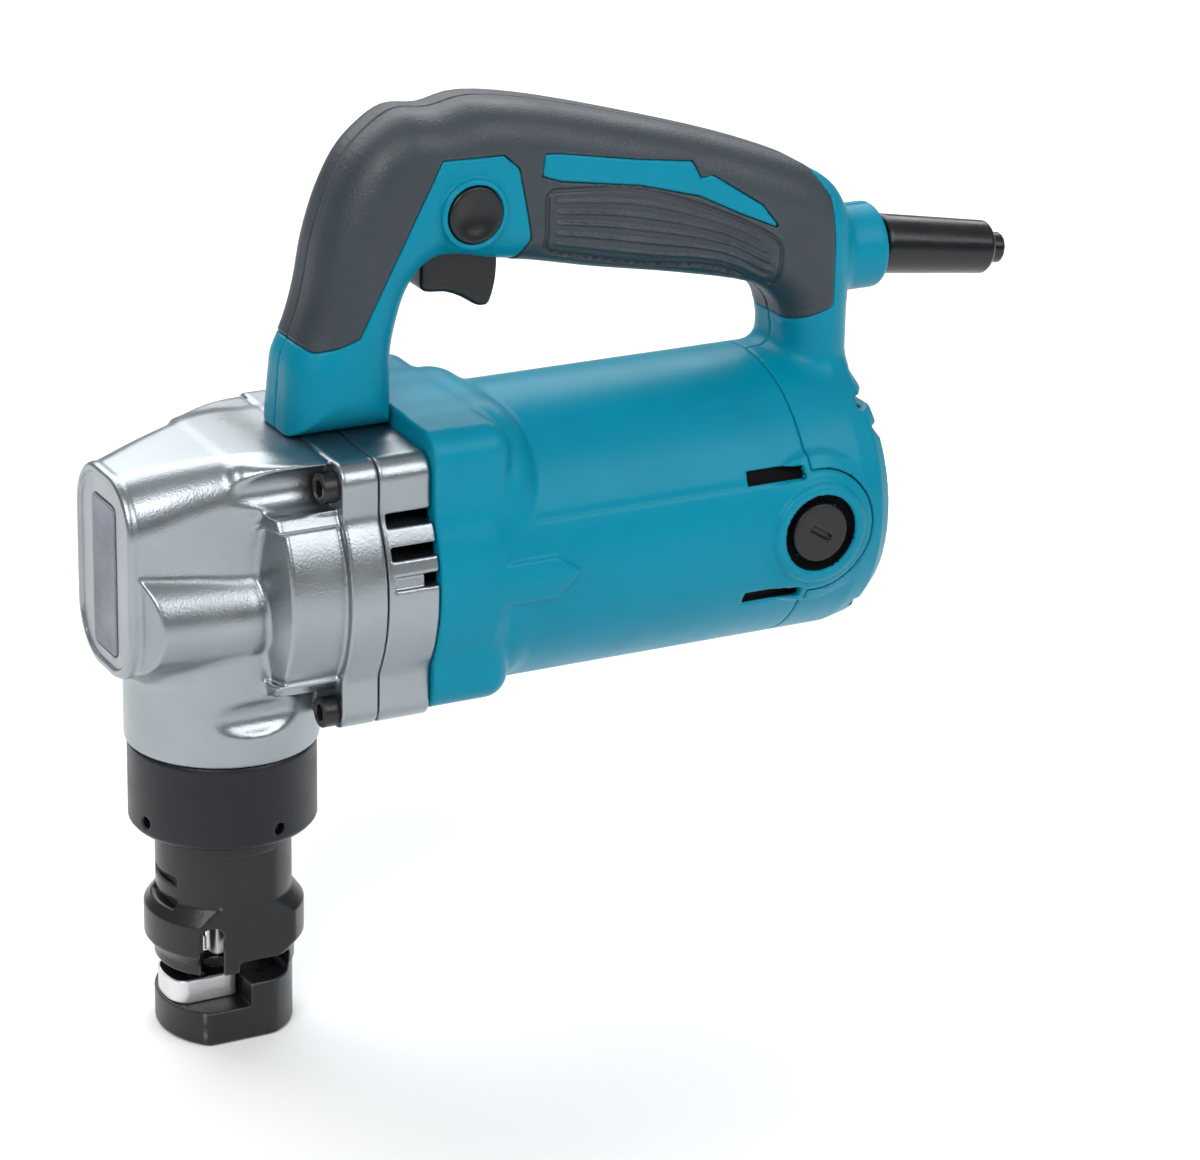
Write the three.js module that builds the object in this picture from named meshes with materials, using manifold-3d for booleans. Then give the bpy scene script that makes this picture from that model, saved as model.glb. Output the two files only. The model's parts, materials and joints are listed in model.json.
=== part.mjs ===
// Hand-held electric nibbler for steel sheet, built as separate named pieces.
// Millimetres, +Z up. The cutting side faces -X, the motor axis runs along +X and the cord
// leaves at the +X end. Pieces are drawn with the punch axis on x = 0, and the finished group
// is moved so that its origin is the middle of the solid part of the die holder's foot.
import * as THREE from 'three';
import { mergeVertices } from 'three/addons/utils/BufferGeometryUtils.js';
import Module from 'manifold-3d';

const wasm = await Module();
wasm.setup();

// ---------------------------------------------------------------- driving dimensions
const MOTOR_Z = 135.5;        // height of the motor axis
const CRANK_Z = 130.5;        // height of the crank axis
const THROW = 6.5;            // crank throw, so the punch stroke is 13
const ROD_LENGTH = 34;        // crank pin to wrist pin
const GEAR_MODULE = 1;
const TEETH = { motor: 7, layBig: 28, laySmall: 10, crank: 35 };
const LAY_Z = MOTOR_Z + GEAR_MODULE * (TEETH.motor + TEETH.layBig) / 2;

const FRONT_X = -34;          // front face of the head
const SPLIT_X = 31.3;         // gear housing to gear cover
const COVER_X = 46.8;         // gear cover to motor housing
const SEAM_X = 163;           // motor housing to rear cover
const REAR_X = 190.5;         // back of the rear cover
const BARREL_R = 42.2;        // motor housing barrel
const BORE_R = 38.5;          // motor housing bore, holds the stator
const BRUSH_X = 165;          // brush axis
const SEAT_X = 20.5;          // front face of the flange, under the screw heads
const FLANGE = { half: 36.5, low: 97, top: 174, corner: 6, drum: 43 };
const BAND = { r: 40, low: 108, top: 161 };      // gear case between head and flange
const BULGE = { r: 15.2, y: 12.6, start: -31, length: 29, splay: 6 };  // bar along each side of the head
const PLATE = { half: 8, low: 118, top: 161 };   // label plate in the front face
const NUT = { r: 26.5, low: 62.5, top: 87.6 };
const NECK_R = 19.15;
const FLAT_Y = 17.4;          // milled flats on both sides of the die holder
const FOOT_FRONT = { r: 23, x: 3.4 };   // wide arc round the front of the die holder's foot
const DIE = { low: 10, top: 17, front: 19.2, back: 0.8, half: 8.7, corner: 6 };
const TIP = { x: -2.6, r: 3.4, low: 20.7 };   // working end of the punch
const HANDLE_HALF = 16.5;
const EDGE_R = 4;             // rounding along the handle's edges
const BUTTON = { x: 68.5, z: 233.2, r: 8 };
const CORD = { x: 189, z: 204, r: 4.5, bend: 203, droop: 8.7, length: 44, guard: 39 };
const FIT = 0.05;             // radial running clearance
const FOOT_X = 11.5;          // middle of the foot's solid part, behind the slug hole
const GAP = 0.3;              // clearance between faces that move past each other
const DEG = Math.PI / 180;

// ---------------------------------------------------------------- solid helpers
function solid(geometry) {
  const bare = geometry.clone();
  bare.deleteAttribute('normal');
  bare.deleteAttribute('uv');
  const merged = mergeVertices(bare, 1e-4);
  return new wasm.Manifold(new wasm.Mesh({
    numProp: 3,
    vertProperties: new Float32Array(merged.attributes.position.array),
    triVerts: new Uint32Array(merged.index.array),
  }));
}

function toGeometry(body) {
  const mesh = body.getMesh();
  const geometry = new THREE.BufferGeometry();
  geometry.setAttribute('position', new THREE.BufferAttribute(new Float32Array(mesh.vertProperties), 3));
  geometry.setIndex(new THREE.BufferAttribute(new Uint32Array(mesh.triVerts), 1));
  geometry.computeVertexNormals();
  return geometry;
}

function cut(body, ...tools) {
  return tools.reduce((left, tool) => left.subtract(tool), body);
}

function join(...bodies) {
  return bodies.reduce((left, right) => left.add(right));
}

function box(x0, x1, y0, y1, z0, z1) {
  const geometry = new THREE.BoxGeometry(x1 - x0, y1 - y0, z1 - z0);
  return solid(geometry.translate((x0 + x1) / 2, (y0 + y1) / 2, (z0 + z1) / 2));
}

// Cylinders along each axis, from the low end to the high end.
function alongZ(r, z0, z1, x = 0, y = 0, sides = 28) {
  const geometry = new THREE.CylinderGeometry(r, r, z1 - z0, sides).rotateX(90 * DEG);
  return solid(geometry.translate(x, y, (z0 + z1) / 2));
}

function alongX(r, x0, x1, y = 0, z = MOTOR_Z, sides = 28) {
  const geometry = new THREE.CylinderGeometry(r, r, x1 - x0, sides).rotateZ(90 * DEG);
  return solid(geometry.translate((x0 + x1) / 2, y, z));
}

function alongY(r, y0, y1, x, z, sides = 24) {
  const geometry = new THREE.CylinderGeometry(r, r, y1 - y0, sides);
  return solid(geometry.translate(x, (y0 + y1) / 2, z));
}

// Turned bodies from a closed profile of [radius, distance along the axis] corners.
function turned(profile, sides = 28) {
  const corners = [...profile, profile[0]].map(([r, along]) => new THREE.Vector2(r, along));
  return new THREE.LatheGeometry(corners, sides);
}

function turnedZ(profile, sides = 28) {
  return solid(turned(profile, sides).rotateX(90 * DEG));
}

function turnedX(profile, z = MOTOR_Z, sides = 28) {
  return solid(turned(profile, sides).rotateZ(-90 * DEG).translate(0, 0, z));
}

// Extrusions of an outline drawn in two of the axes along the third.
function extrude(shape, depth, bevel = 0) {
  return new THREE.ExtrudeGeometry(shape, {
    depth: depth - 2 * bevel,
    bevelEnabled: bevel > 0,
    bevelThickness: bevel,
    bevelSize: bevel,
    bevelOffset: -bevel,
    bevelSegments: 2,
    curveSegments: 5,
  }).translate(0, 0, bevel);
}

function sideSlab(shape, y0, y1, bevel = 0) {
  return solid(extrude(shape, y1 - y0, bevel).rotateX(90 * DEG).translate(0, y1, 0));
}

function frontSlab(shape, x0, x1, bevel = 0) {
  const turn = new THREE.Matrix4().makeBasis(
    new THREE.Vector3(0, 1, 0), new THREE.Vector3(0, 0, 1), new THREE.Vector3(1, 0, 0));
  return solid(extrude(shape, x1 - x0, bevel).applyMatrix4(turn).translate(x0, 0, 0));
}

function planSlab(shape, z0, z1, bevel = 0) {
  return solid(extrude(shape, z1 - z0, bevel).translate(0, 0, z0));
}

function polygon(corners) {
  return new THREE.Shape(corners.map(([u, v]) => new THREE.Vector2(u, v)));
}

function roundedRect(u0, u1, v0, v1, r) {
  const shape = new THREE.Shape();
  shape.moveTo(u0 + r, v0);
  shape.lineTo(u1 - r, v0);
  shape.absarc(u1 - r, v0 + r, r, -90 * DEG, 0);
  shape.lineTo(u1, v1 - r);
  shape.absarc(u1 - r, v1 - r, r, 0, 90 * DEG);
  shape.lineTo(u0 + r, v1);
  shape.absarc(u0 + r, v1 - r, r, 90 * DEG, 180 * DEG);
  shape.lineTo(u0, v0 + r);
  shape.absarc(u0 + r, v0 + r, r, 180 * DEG, 270 * DEG);
  return shape;
}

// ---------------------------------------------------------------- materials and the tree
const finishes = {
  alloy: { color: 0xaab4ba, roughness: 0.42, metalness: 0.75 },
  plate: { color: 0x3a3f46, roughness: 0.6, metalness: 0.2 },
  plastic: { color: 0x12778f, roughness: 0.42, metalness: 0 },
  rubber: { color: 0x30363e, roughness: 0.7, metalness: 0 },
  blackPlastic: { color: 0x1b1d20, roughness: 0.5, metalness: 0 },
  blackSteel: { color: 0x24282d, roughness: 0.45, metalness: 0.7 },
  brightSteel: { color: 0xb9bdc0, roughness: 0.3, metalness: 0.9 },
  gearSteel: { color: 0x8c8f92, roughness: 0.35, metalness: 0.85 },
  coreSteel: { color: 0x6d6f73, roughness: 0.5, metalness: 0.7 },
  copper: { color: 0xb46c3c, roughness: 0.35, metalness: 0.9 },
  carbon: { color: 0x232323, roughness: 0.8, metalness: 0 },
  brass: { color: 0xb59a4c, roughness: 0.35, metalness: 0.9 },
  felt: { color: 0x75706a, roughness: 0.95, metalness: 0 },
};

const nibbler = new THREE.Group();
nibbler.name = 'nibbler';

function piece(name, shape, finish, parent = nibbler) {
  const geometry = shape.isBufferGeometry ? shape : toGeometry(shape);
  const mesh = new THREE.Mesh(geometry, new THREE.MeshStandardMaterial(finishes[finish]));
  mesh.name = name;
  parent.add(mesh);
  return mesh;
}

// ---------------------------------------------------------------- gear housing
// Section of the gear case and its cover: a square flange with a round drum across it.
function flangeSection(x0, x1, shrink = 0) {
  const half = FLANGE.half - shrink;
  const square = frontSlab(roundedRect(-half, half, FLANGE.low + shrink, FLANGE.top - shrink, FLANGE.corner), x0, x1);
  const drum = alongX(FLANGE.drum - shrink, x0, x1, 0, MOTOR_Z, 32);
  const limit = box(x0, x1, -FLANGE.drum, FLANGE.drum, FLANGE.low + shrink, FLANGE.top - shrink);
  return join(square, drum.intersect(limit));
}

const SCREW = { r: 2.5, head: 4.4, headLength: 4.5, end: 58, y: 30.5, high: 167, low: 102, access: 5.9 };

function screwPlaces() {
  const places = [];
  for (const side of [-1, 1]) {
    places.push({ y: side * SCREW.y, z: SCREW.high });
    places.push({ y: side * SCREW.y, z: SCREW.low });
  }
  return places;
}

// Body lofted along X through rounded rectangles given at each station.
function loftX(stations, perCorner = 5) {
  const rings = stations.map(({ x, half, low, top, r }) => {
    const ring = [];
    const centres = [[half - r, low + r], [half - r, top - r], [r - half, top - r], [r - half, low + r]];
    centres.forEach(([y, z], corner) => {
      for (let step = 0; step < perCorner; step += 1) {
        const angle = (corner - 1 + step / (perCorner - 1)) * 90 * DEG;
        ring.push([x, y + r * Math.cos(angle), z + r * Math.sin(angle)]);
      }
    });
    return ring;
  });
  const around = rings[0].length;
  const corners = rings.flat();
  const faces = [];
  for (let ring = 0; ring + 1 < rings.length; ring += 1) {
    for (let step = 0; step < around; step += 1) {
      const here = ring * around + step;
      const next = ring * around + (step + 1) % around;
      faces.push(here, next, next + around, here, next + around, here + around);
    }
  }
  const last = corners.length - around;
  for (let step = 1; step + 1 < around; step += 1) {
    faces.push(0, step + 1, step, last, last + step, last + step + 1);
  }
  const geometry = new THREE.BufferGeometry();
  geometry.setAttribute('position', new THREE.Float32BufferAttribute(corners.flat(), 3));
  geometry.setIndex(faces);
  return solid(geometry);
}

function headOutside() {
  return loftX([
    { x: FRONT_X, half: 19.3, low: 112, top: 169.5, r: 15 },
    { x: FRONT_X + 6, half: 20.8, low: 110, top: 171, r: 15 },
    { x: -15, half: 23.5, low: 108.5, top: 173.5, r: 13 },
    { x: -2, half: 26, low: 107, top: 175, r: 11 },
    { x: 7, half: 26, low: 107, top: 175, r: 9 },
    { x: 15, half: 26, low: 107, top: 173.8, r: 9 },
    { x: SEAT_X + 1, half: 26, low: 107, top: 173.6, r: 9 },
  ]);
}

// Shoulders that widen the top of the head out to the flange.
function shoulders() {
  return loftX([
    { x: -3, half: 25, low: 162, top: 173.4, r: 5 },
    { x: 13, half: 34, low: 162, top: 173.4, r: 5 },
    { x: SEAT_X + 1, half: 35, low: 162, top: 173.4, r: 5 },
  ]);
}

// Round-ended bar along each side of the head, over the crank's big end, splayed outwards.
function sideBulge(side) {
  const profile = [[0, 0], [BULGE.r, 0], [BULGE.r, BULGE.length]];
  for (let angle = 15; angle < 90; angle += 15) {
    const turn = angle * DEG;
    profile.push([BULGE.r * Math.cos(turn), BULGE.length + BULGE.r * Math.sin(turn)]);
  }
  profile.push([0, BULGE.length + BULGE.r]);
  return turnedX(profile, 0, 32)
    .rotate([0, 0, side * BULGE.splay])
    .translate([BULGE.start, side * BULGE.y, CRANK_Z]);
}

function gearHousing() {
  const nose = alongZ(27.2, NUT.top, 116);
  const thread = alongZ(21.6, 69, NUT.top + 1);
  const band = turnedX([[0, -1], [30, -1], [37.5, 2.5], [BAND.r, 6], [BAND.r, SEAT_X + 1.5], [0, SEAT_X + 1.5]],
    MOTOR_Z, 32).intersect(box(-2, SEAT_X + 3, -45, 45, BAND.low, BAND.top));
  let body = join(headOutside(), shoulders(), nose, thread, sideBulge(-1), sideBulge(1), band);
  for (const place of screwPlaces()) {
    body = cut(body, alongX(SCREW.access, FRONT_X, SEAT_X, place.y, place.z, 20));
  }
  body = join(body, flangeSection(SEAT_X, SPLIT_X));
  for (const place of screwPlaces()) {
    body = cut(body, alongX(SCREW.r, SEAT_X - 1, SPLIT_X + 1, place.y, place.z, 12));
  }
  const gearRoom = alongX(24.5, 19.5, SPLIT_X + 1, 0, 135, 32)
    .add(alongX(34, 25, SPLIT_X + 1, 0, MOTOR_Z, 32));
  return cut(
    body,
    gearRoom.intersect(box(0, 40, -24.8, 24.8, 100, 172.5)),
    alongX(24.8, -8, 9.2, 0, CRANK_Z, 32).intersect(box(-9, 10, -22.6, 22.6, 100, 160)),
    alongX(16, -29, -7, 0, 134, 40),
    alongX(14, 9, 20, 0, CRANK_Z),
    alongX(5.5, 16.5, 20, 0, LAY_Z),
    alongZ(13, 66, 112),
    frontSlab(roundedRect(-PLATE.half - 0.3, PLATE.half + 0.3, PLATE.low - 0.3, PLATE.top + 0.3, 2.3),
      FRONT_X - 1, FRONT_X + 1.2),
  );
}
piece('gear_housing', gearHousing(), 'alloy');
piece('front_plate',
  frontSlab(roundedRect(-PLATE.half, PLATE.half, PLATE.low, PLATE.top, 2), FRONT_X + 0.2, FRONT_X + 1.2),
  'plate');

function gearCover() {
  let body = flangeSection(SPLIT_X, COVER_X);
  for (const place of screwPlaces()) {
    body = cut(body, alongX(SCREW.r, SPLIT_X - 1, COVER_X + 1, place.y, place.z, 12));
  }
  const exhaust = alongX(34, SPLIT_X + 5, COVER_X + 1, 0, MOTOR_Z, 32).subtract(
    alongX(15, SPLIT_X, COVER_X - 1.6));
  const slots = [157.2, 148.7, 140.7].map((z) => box(33.6, COVER_X + 1, -45, 45, z - 1.9, z + 1.9));
  const slotBand = join(...slots).subtract(alongX(16, SPLIT_X, COVER_X));
  return cut(
    body,
    exhaust,
    slotBand,
    alongX(11, SPLIT_X + 6, COVER_X),
    alongX(6, SPLIT_X - 1, SPLIT_X + 7, 0, MOTOR_Z, 24),
    alongX(6.5, SPLIT_X - 1, SPLIT_X + 4.2, 0, LAY_Z),
  );
}
piece('gear_cover', gearCover(), 'alloy');

// Socket-headed screws that hold the gear case, its cover and the motor housing together.
function capScrew(head, r, headLength, length) {
  const profile = [[0, 0], [head, 0], [head, headLength], [r, headLength], [r, length], [0, length]];
  const socket = solid(new THREE.CylinderGeometry(head / 2, head / 2, headLength, 6));
  return solid(turned(profile, 12)).subtract(socket);
}
screwPlaces().forEach((place, index) => {
  const body = capScrew(SCREW.head, SCREW.r, SCREW.headLength, SCREW.end - SEAT_X + SCREW.headLength);
  const screw = piece(`flange_screw_${index + 1}`, body, 'blackSteel');
  screw.rotation.z = -90 * DEG;
  screw.position.set(SEAT_X - SCREW.headLength, place.y, place.z);
});

// ---------------------------------------------------------------- motor housing
function brushBoss(side) {
  const span = (near, far) => (side < 0 ? [-far, -near] : [near, far]);
  const boss = alongY(18, ...span(34, 41.5), BRUSH_X, MOTOR_Z, 32);
  const collar = alongY(13.4, ...span(41, 44), BRUSH_X, MOTOR_Z);
  return join(boss, collar);
}

function motorHousing() {
  const flare = frontSlab(roundedRect(-41, 41, 100.5, 180, 14), COVER_X, 66, 0);
  const neck = frontSlab(roundedRect(-40, 40, 97.5, 179, 24), 64, 76, 0);
  const barrel = alongX(BARREL_R, COVER_X + 3, SEAM_X, 0, MOTOR_Z, 40);
  let body = join(flare, neck, barrel, brushBoss(-1), brushBoss(1));
  for (const side of [-1, 1]) {
    const rib = roundedRect(64, 88, 129, 141, 5.5);
    body = body.add(sideSlab(rib, side < 0 ? -43.2 : 38, side < 0 ? -38 : 43.2));
  }
  const holder = box(BRUSH_X - 6, BRUSH_X + 6, -41.5, 41.5, MOTOR_Z - 7, MOTOR_Z + 7);
  body = cut(
    body,
    alongX(BORE_R, COVER_X - 1, SEAM_X + 30, 0, MOTOR_Z, 40),
    alongY(11.6, -45, -41.2, BRUSH_X, MOTOR_Z),
    alongY(11.6, 41.2, 45, BRUSH_X, MOTOR_Z),
    holder,
  );
  for (const place of screwPlaces()) {
    body = cut(body, alongX(SCREW.r, COVER_X - 1, SCREW.end, place.y, place.z, 12));
  }
  return body;
}
piece('motor_housing', motorHousing(), 'plastic');

// ---------------------------------------------------------------- handle
// Side outline of the handle, pulled in by `inset` all round.
function handleOutline(inset = 0) {
  const crown = new THREE.SplineCurve([
    [16.5, FLANGE.top], [17.6, 194], [23, 208], [27.5, 227], [36.8, 248.5], [51.8, 260], [70, 262], [99, 257.2],
    [139, 246], [170, 235], [185, 226], [191.3, 212], [190.5, 190]].map(([x, z]) => new THREE.Vector2(x, z)));
  const window = new THREE.SplineCurve([
    [171, 184], [168, 193], [158, 200.5], [135, 206], [97, 213.8], [80, 216.5], [62, 219.5], [53, 212],
    [48.4, 196], [47.5, FLANGE.top]].map(([x, z]) => new THREE.Vector2(x, z)));
  const corners = [
    ...crown.getPoints(20), new THREE.Vector2(REAR_X, 168), new THREE.Vector2(171, 168),
    ...window.getPoints(16)];
  if (inset === 0) return new THREE.Shape(corners);
  const pulled = corners.map((corner, index) => {
    const before = corners[(index + corners.length - 1) % corners.length];
    const after = corners[(index + 1) % corners.length];
    const a = corner.clone().sub(before).normalize();
    const b = after.clone().sub(corner).normalize();
    const normal = new THREE.Vector2(a.y + b.y, -a.x - b.x).normalize();
    const stretch = 1 / Math.max(0.5, normal.dot(new THREE.Vector2(a.y, -a.x)));
    return corner.clone().addScaledVector(normal, inset * stretch);
  });
  return new THREE.Shape(pulled);
}

function handleBlank(inset) {
  const half = HANDLE_HALF - inset;
  return sideSlab(handleOutline(inset), -half, half, inset > 0 ? 0 : EDGE_R);
}

// Room inside the handle for the switch and the wiring.
function hollowOutline() {
  const crown = new THREE.SplineCurve([
    [24, 183], [25, 197], [34.5, 227], [43, 245.5], [54, 254], [70, 256], [99, 251.4], [139, 240],
    [168, 229], [182, 218], [184.5, 196]].map(([x, z]) => new THREE.Vector2(x, z)));
  const floor = new THREE.SplineCurve([
    [177, 196], [160, 207.5], [135, 213], [97, 221], [80, 224], [60, 226], [47, 214], [42, 199],
    [41, 183]].map(([x, z]) => new THREE.Vector2(x, z)));
  return new THREE.Shape([...crown.getPoints(12), ...floor.getPoints(10)]);
}

// Area of the handle that carries the soft grip, seen from the side.
function gripArea() {
  const area = polygon([
    [0, 197], [23, 198], [35.3, 201.5], [45.6, 221.4], [57.8, 246], [60, 248.4], [77.5, 248.4], [83, 243],
    [86, 224], [82, 205], [120, 190], [160, 186], [181.5, 191], [181.5, 245], [120, 280], [0, 280]]);
  const stripe = polygon([
    [91, 241], [94, 246.8], [119, 242.3], [135.5, 239.8], [138, 234.7], [141.6, 235.4], [157, 225.2],
    [162, 219], [138, 230.4], [119, 235.7], [94.4, 239.7]]);
  return cut(
    sideSlab(area, -40, 40), sideSlab(stripe, -40, -HANDLE_HALF + 4), sideSlab(stripe, HANDLE_HALF - 4, 40));
}

const HANDLE_SCREWS = [[33, 190], [92, 234], [160, 222], [181, 183]];

function rearCover() {
  return turnedX([[0, SEAM_X], [BARREL_R, SEAM_X], [BARREL_R, 183], [38.5, REAR_X], [0, REAR_X]], MOTOR_Z, 40);
}

function rearHollow() {
  const room = alongX(BORE_R, SEAM_X - 1, 187, 0, MOTOR_Z, 40);
  const bearingBoss = alongX(14.5, 177, 188).subtract(alongX(11, 170, 186.5));
  return room.subtract(bearingBoss);
}

const handleOuter = handleBlank(0);
const gripSkin = handleOuter.subtract(handleBlank(2.2)).intersect(gripArea());

function handleBody() {
  const boss = alongX(12.5, CORD.x - 6, CORD.bend, 0, CORD.z, 32);
  const body = join(handleOuter, rearCover(), boss);
  const hollow = sideSlab(hollowOutline(), -12, 12);
  const posts = HANDLE_SCREWS.map(([x, z]) => alongY(4.6, -14, 14, x, z, 12));
  const triggerWell = box(56.4, 80.8, -8, 8, 205, 233.6);
  return cut(
    body,
    gripSkin,
    box(COVER_X - GAP, 90, -50, 50, 170, 181),
    cut(hollow, ...posts),
    rearHollow(),
    triggerWell,
    alongY(18 + GAP, -46, -30, BRUSH_X, MOTOR_Z, 40),
    alongY(18 + GAP, 30, 46, BRUSH_X, MOTOR_Z, 40),
    box(BRUSH_X - 7, BRUSH_X + 7, -41.5, 41.5, MOTOR_Z - 8, MOTOR_Z + 8),
    alongX(8.5, CORD.x - 12, CORD.x + 15, 0, CORD.z, 24),
    alongY(BUTTON.r + GAP, -20, -8, BUTTON.x, BUTTON.z),
  );
}

const leftSide = box(-10, 220, -60, 0, 80, 280);
const rightSide = box(-10, 220, 0, 60, 80, 280);
const screwPath = HANDLE_SCREWS.map(([x, z]) => join(
  alongY(2, -12, 18, x, z, 12), alongY(3.8, 10.5, 18, x, z, 12)));
const handle = cut(handleBody(), ...screwPath);
const vents = [];
for (let z = 106; z <= 166; z += 7.5) vents.push(box(184, 192, -30, 30, z - 1.6, z + 1.6));
const ventedHandle = cut(handle, ...vents);
piece('handle_left', ventedHandle.intersect(leftSide), 'plastic');
piece('handle_right', ventedHandle.intersect(rightSide), 'plastic');
const grip = cut(gripSkin, ...screwPath);
piece('grip_left', grip.intersect(leftSide), 'rubber');
piece('grip_right', grip.intersect(rightSide), 'rubber');

HANDLE_SCREWS.forEach(([x, z], index) => {
  const screw = piece(`handle_screw_${index + 1}`, capScrew(3.6, 1.9, 2.4, 24), 'blackSteel');
  screw.rotation.z = 180 * DEG;
  screw.position.set(x, 12.9, z);
});

// ---------------------------------------------------------------- cord
// Round bar that runs straight out of the handle, then droops outside the boss.
function cordBar(r, x0, drop) {
  const straight = alongX(r, x0, CORD.bend, 0, CORD.z, 24);
  const knee = solid(new THREE.SphereGeometry(r, 24, 12).rotateZ(90 * DEG).translate(CORD.bend, 0, CORD.z));
  const hanging = alongX(r, 0, drop, 0, 0, 24)
    .rotate([0, CORD.droop, 0]).translate([CORD.bend, 0, CORD.z]);
  return join(straight, knee, hanging);
}
const guardCone = turnedX([[0, 1.7], [8.7, 1.7], [7.7, CORD.guard], [0, CORD.guard]], 0, 24)
  .rotate([0, CORD.droop, 0]).translate([CORD.bend, 0, CORD.z]);
const guardPlug = alongX(8.4, CORD.x - 4, CORD.bend + 1, 0, CORD.z, 24);
piece('cord_guard', cut(join(guardPlug, guardCone), cordBar(CORD.r + 0.2, CORD.x - 6, CORD.length)),
  'blackPlastic');
piece('cord', cordBar(CORD.r, 176, CORD.length), 'blackPlastic');
piece('cord_clamp', box(176.5, 181, -12, 12, 196.6, 199.5), 'blackPlastic');

// ---------------------------------------------------------------- lock nut, die holder, die
function lockNut() {
  const outside = turnedZ([[0, NUT.low], [25.2, NUT.low], [NUT.r, NUT.low + 1.4], [NUT.r, NUT.top - 0.8],
    [26, NUT.top - 0.2], [0, NUT.top - 0.2]], 32);
  const spannerHoles = [0, 90, 180, 270].map((turn) => alongX(1.7, -28, -23.5, 0, 67, 16)
    .rotate([0, 0, turn + 50]));
  return cut(outside, alongZ(NECK_R + GAP, 60, 70), alongZ(21.6 + GAP, 65, 90), ...spannerHoles);
}
piece('lock_nut', lockNut(), 'blackSteel');

const DIE_SCREWS = [[-11, 5], [-11, -5]];

// Foot of the die holder in plan: round behind, a wider arc in front, and flat on both sides.
function footBlank() {
  const rear = turnedZ([[0, 0], [NECK_R - 1, 0], [NECK_R, 1], [NECK_R, 20], [0, 20]], 32)
    .intersect(box(-4, 30, -30, 30, -1, 30));
  const front = turnedZ([[0, 0], [FOOT_FRONT.r - 1, 0], [FOOT_FRONT.r, 1], [FOOT_FRONT.r, 12], [0, 12]], 40)
    .translate([FOOT_FRONT.x, 0, 0])
    .intersect(box(-30, 0, -30, 30, -1, 30));
  return join(rear, front);
}

function dieHolder() {
  const blank = turnedZ([
    [0, 20], [21.3, 20], [22.5, 23.5], [22.5, 38],
    [NECK_R, 43.5], [NECK_R, 65.6], [21.3, 65.6], [21.3, 68.6], [0, 68.6]], 32);
  const flats = [-1, 1].map((side) => sideSlab(
    roundedRect(-30, 30, -30, 57, 14), side < 0 ? -30 : FLAT_Y, side < 0 ? -FLAT_Y : 30));
  const sheetPath = box(-30, 13.8, -30, 30, DIE.top, 20.4);
  const backRecess = box(-6, 13.8, -30, 30, DIE.top, 28.5);
  const windows = [-1, 1].map((side) => {
    const opening = new THREE.Shape();
    opening.moveTo(-7, 16);
    opening.lineTo(3, 16);
    opening.lineTo(3, 28);
    opening.absarc(-2, 28, 5, 0, 180 * DEG);
    return sideSlab(opening, side < 0 ? -30 : 0, side < 0 ? 0 : 30).rotate([0, 0, side * 33]);
  });
  const gauges = [44.2, 51.5].map((z) => box(-30, -17, -8, 8, z, z + 2.4));
  const dieSeat = box(-30, DIE.back, -30, 30, DIE.low, DIE.top + 1);
  const tipBore = alongZ(5.6, -1, 30, TIP.x, 0, 32);
  return cut(
    join(blank, footBlank()), ...flats, sheetPath, backRecess, ...windows, ...gauges, dieSeat, tipBore,
    alongZ(5 + FIT, 20, 60), alongZ(9.6, 44, 70),
    ...DIE_SCREWS.map(([x, y]) => alongZ(1.5, 2, DIE.low + 1, x, y, 16)),
  );
}
piece('die_holder', dieHolder(), 'blackSteel');

function dieBody() {
  const disc = alongZ(DIE.front, DIE.low, DIE.top, 0, 0, 32);
  const outline = roundedRect(-DIE.front - 1, DIE.back + 10, -DIE.half, DIE.half, DIE.corner);
  const tongue = planSlab(outline, DIE.low, DIE.top)
    .intersect(box(-30, DIE.back - 0.1, -30, 30, DIE.low, DIE.top));
  return cut(
    disc.intersect(tongue),
    alongZ(TIP.r + FIT, DIE.low - 1, DIE.top + 1, TIP.x, 0, 32),
    ...DIE_SCREWS.map(([x, y]) => join(
      alongZ(1.5, DIE.low - 1, DIE.top + 1, x, y, 16), alongZ(2.4, DIE.top - 3, DIE.top + 1, x, y, 16))),
  );
}
piece('die', dieBody(), 'brightSteel');

DIE_SCREWS.forEach(([x, y], index) => {
  const screw = piece(`die_screw_${index + 1}`, capScrew(2.3, 1.45, 2.6, 11), 'blackSteel');
  screw.rotation.x = -90 * DEG;
  screw.position.set(x, y, DIE.top - 0.4);
});

// ---------------------------------------------------------------- ram, punch, connecting rod
const PIN_TOP = CRANK_Z + THROW;              // crank pin height with the ram at the top
const WRIST_Z = PIN_TOP - ROD_LENGTH;
const ROD_HALF = 4.5;

function ram() {
  const barrel = alongZ(9, 58, WRIST_Z + 8);
  const slot = box(-ROD_HALF - GAP, ROD_HALF + GAP, -12, 12, WRIST_Z - 9, WRIST_Z + 10);
  return cut(barrel, slot, alongX(4, -12, 12, 0, WRIST_Z, 24), alongZ(5.5 + FIT, 57, 70.3));
}
piece('ram', ram(), 'gearSteel');
piece('wrist_pin', alongX(4, -8, 8, 0, WRIST_Z, 24), 'brightSteel');

function punch() {
  const shank = turnedZ([[0, 34], [4.4, 34], [5, 34.8], [5, 57], [5.5, 57.6], [5.5, 70], [0, 70]], 32);
  const tip = alongZ(TIP.r, TIP.low, 35, TIP.x, 0, 28).intersect(alongZ(5, TIP.low, 35));
  const face = box(-9, TIP.x - TIP.r * 0.72, -1, 1, TIP.low - 1, 27);
  return cut(join(shank, tip), face);
}
piece('punch', punch(), 'brightSteel');

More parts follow.
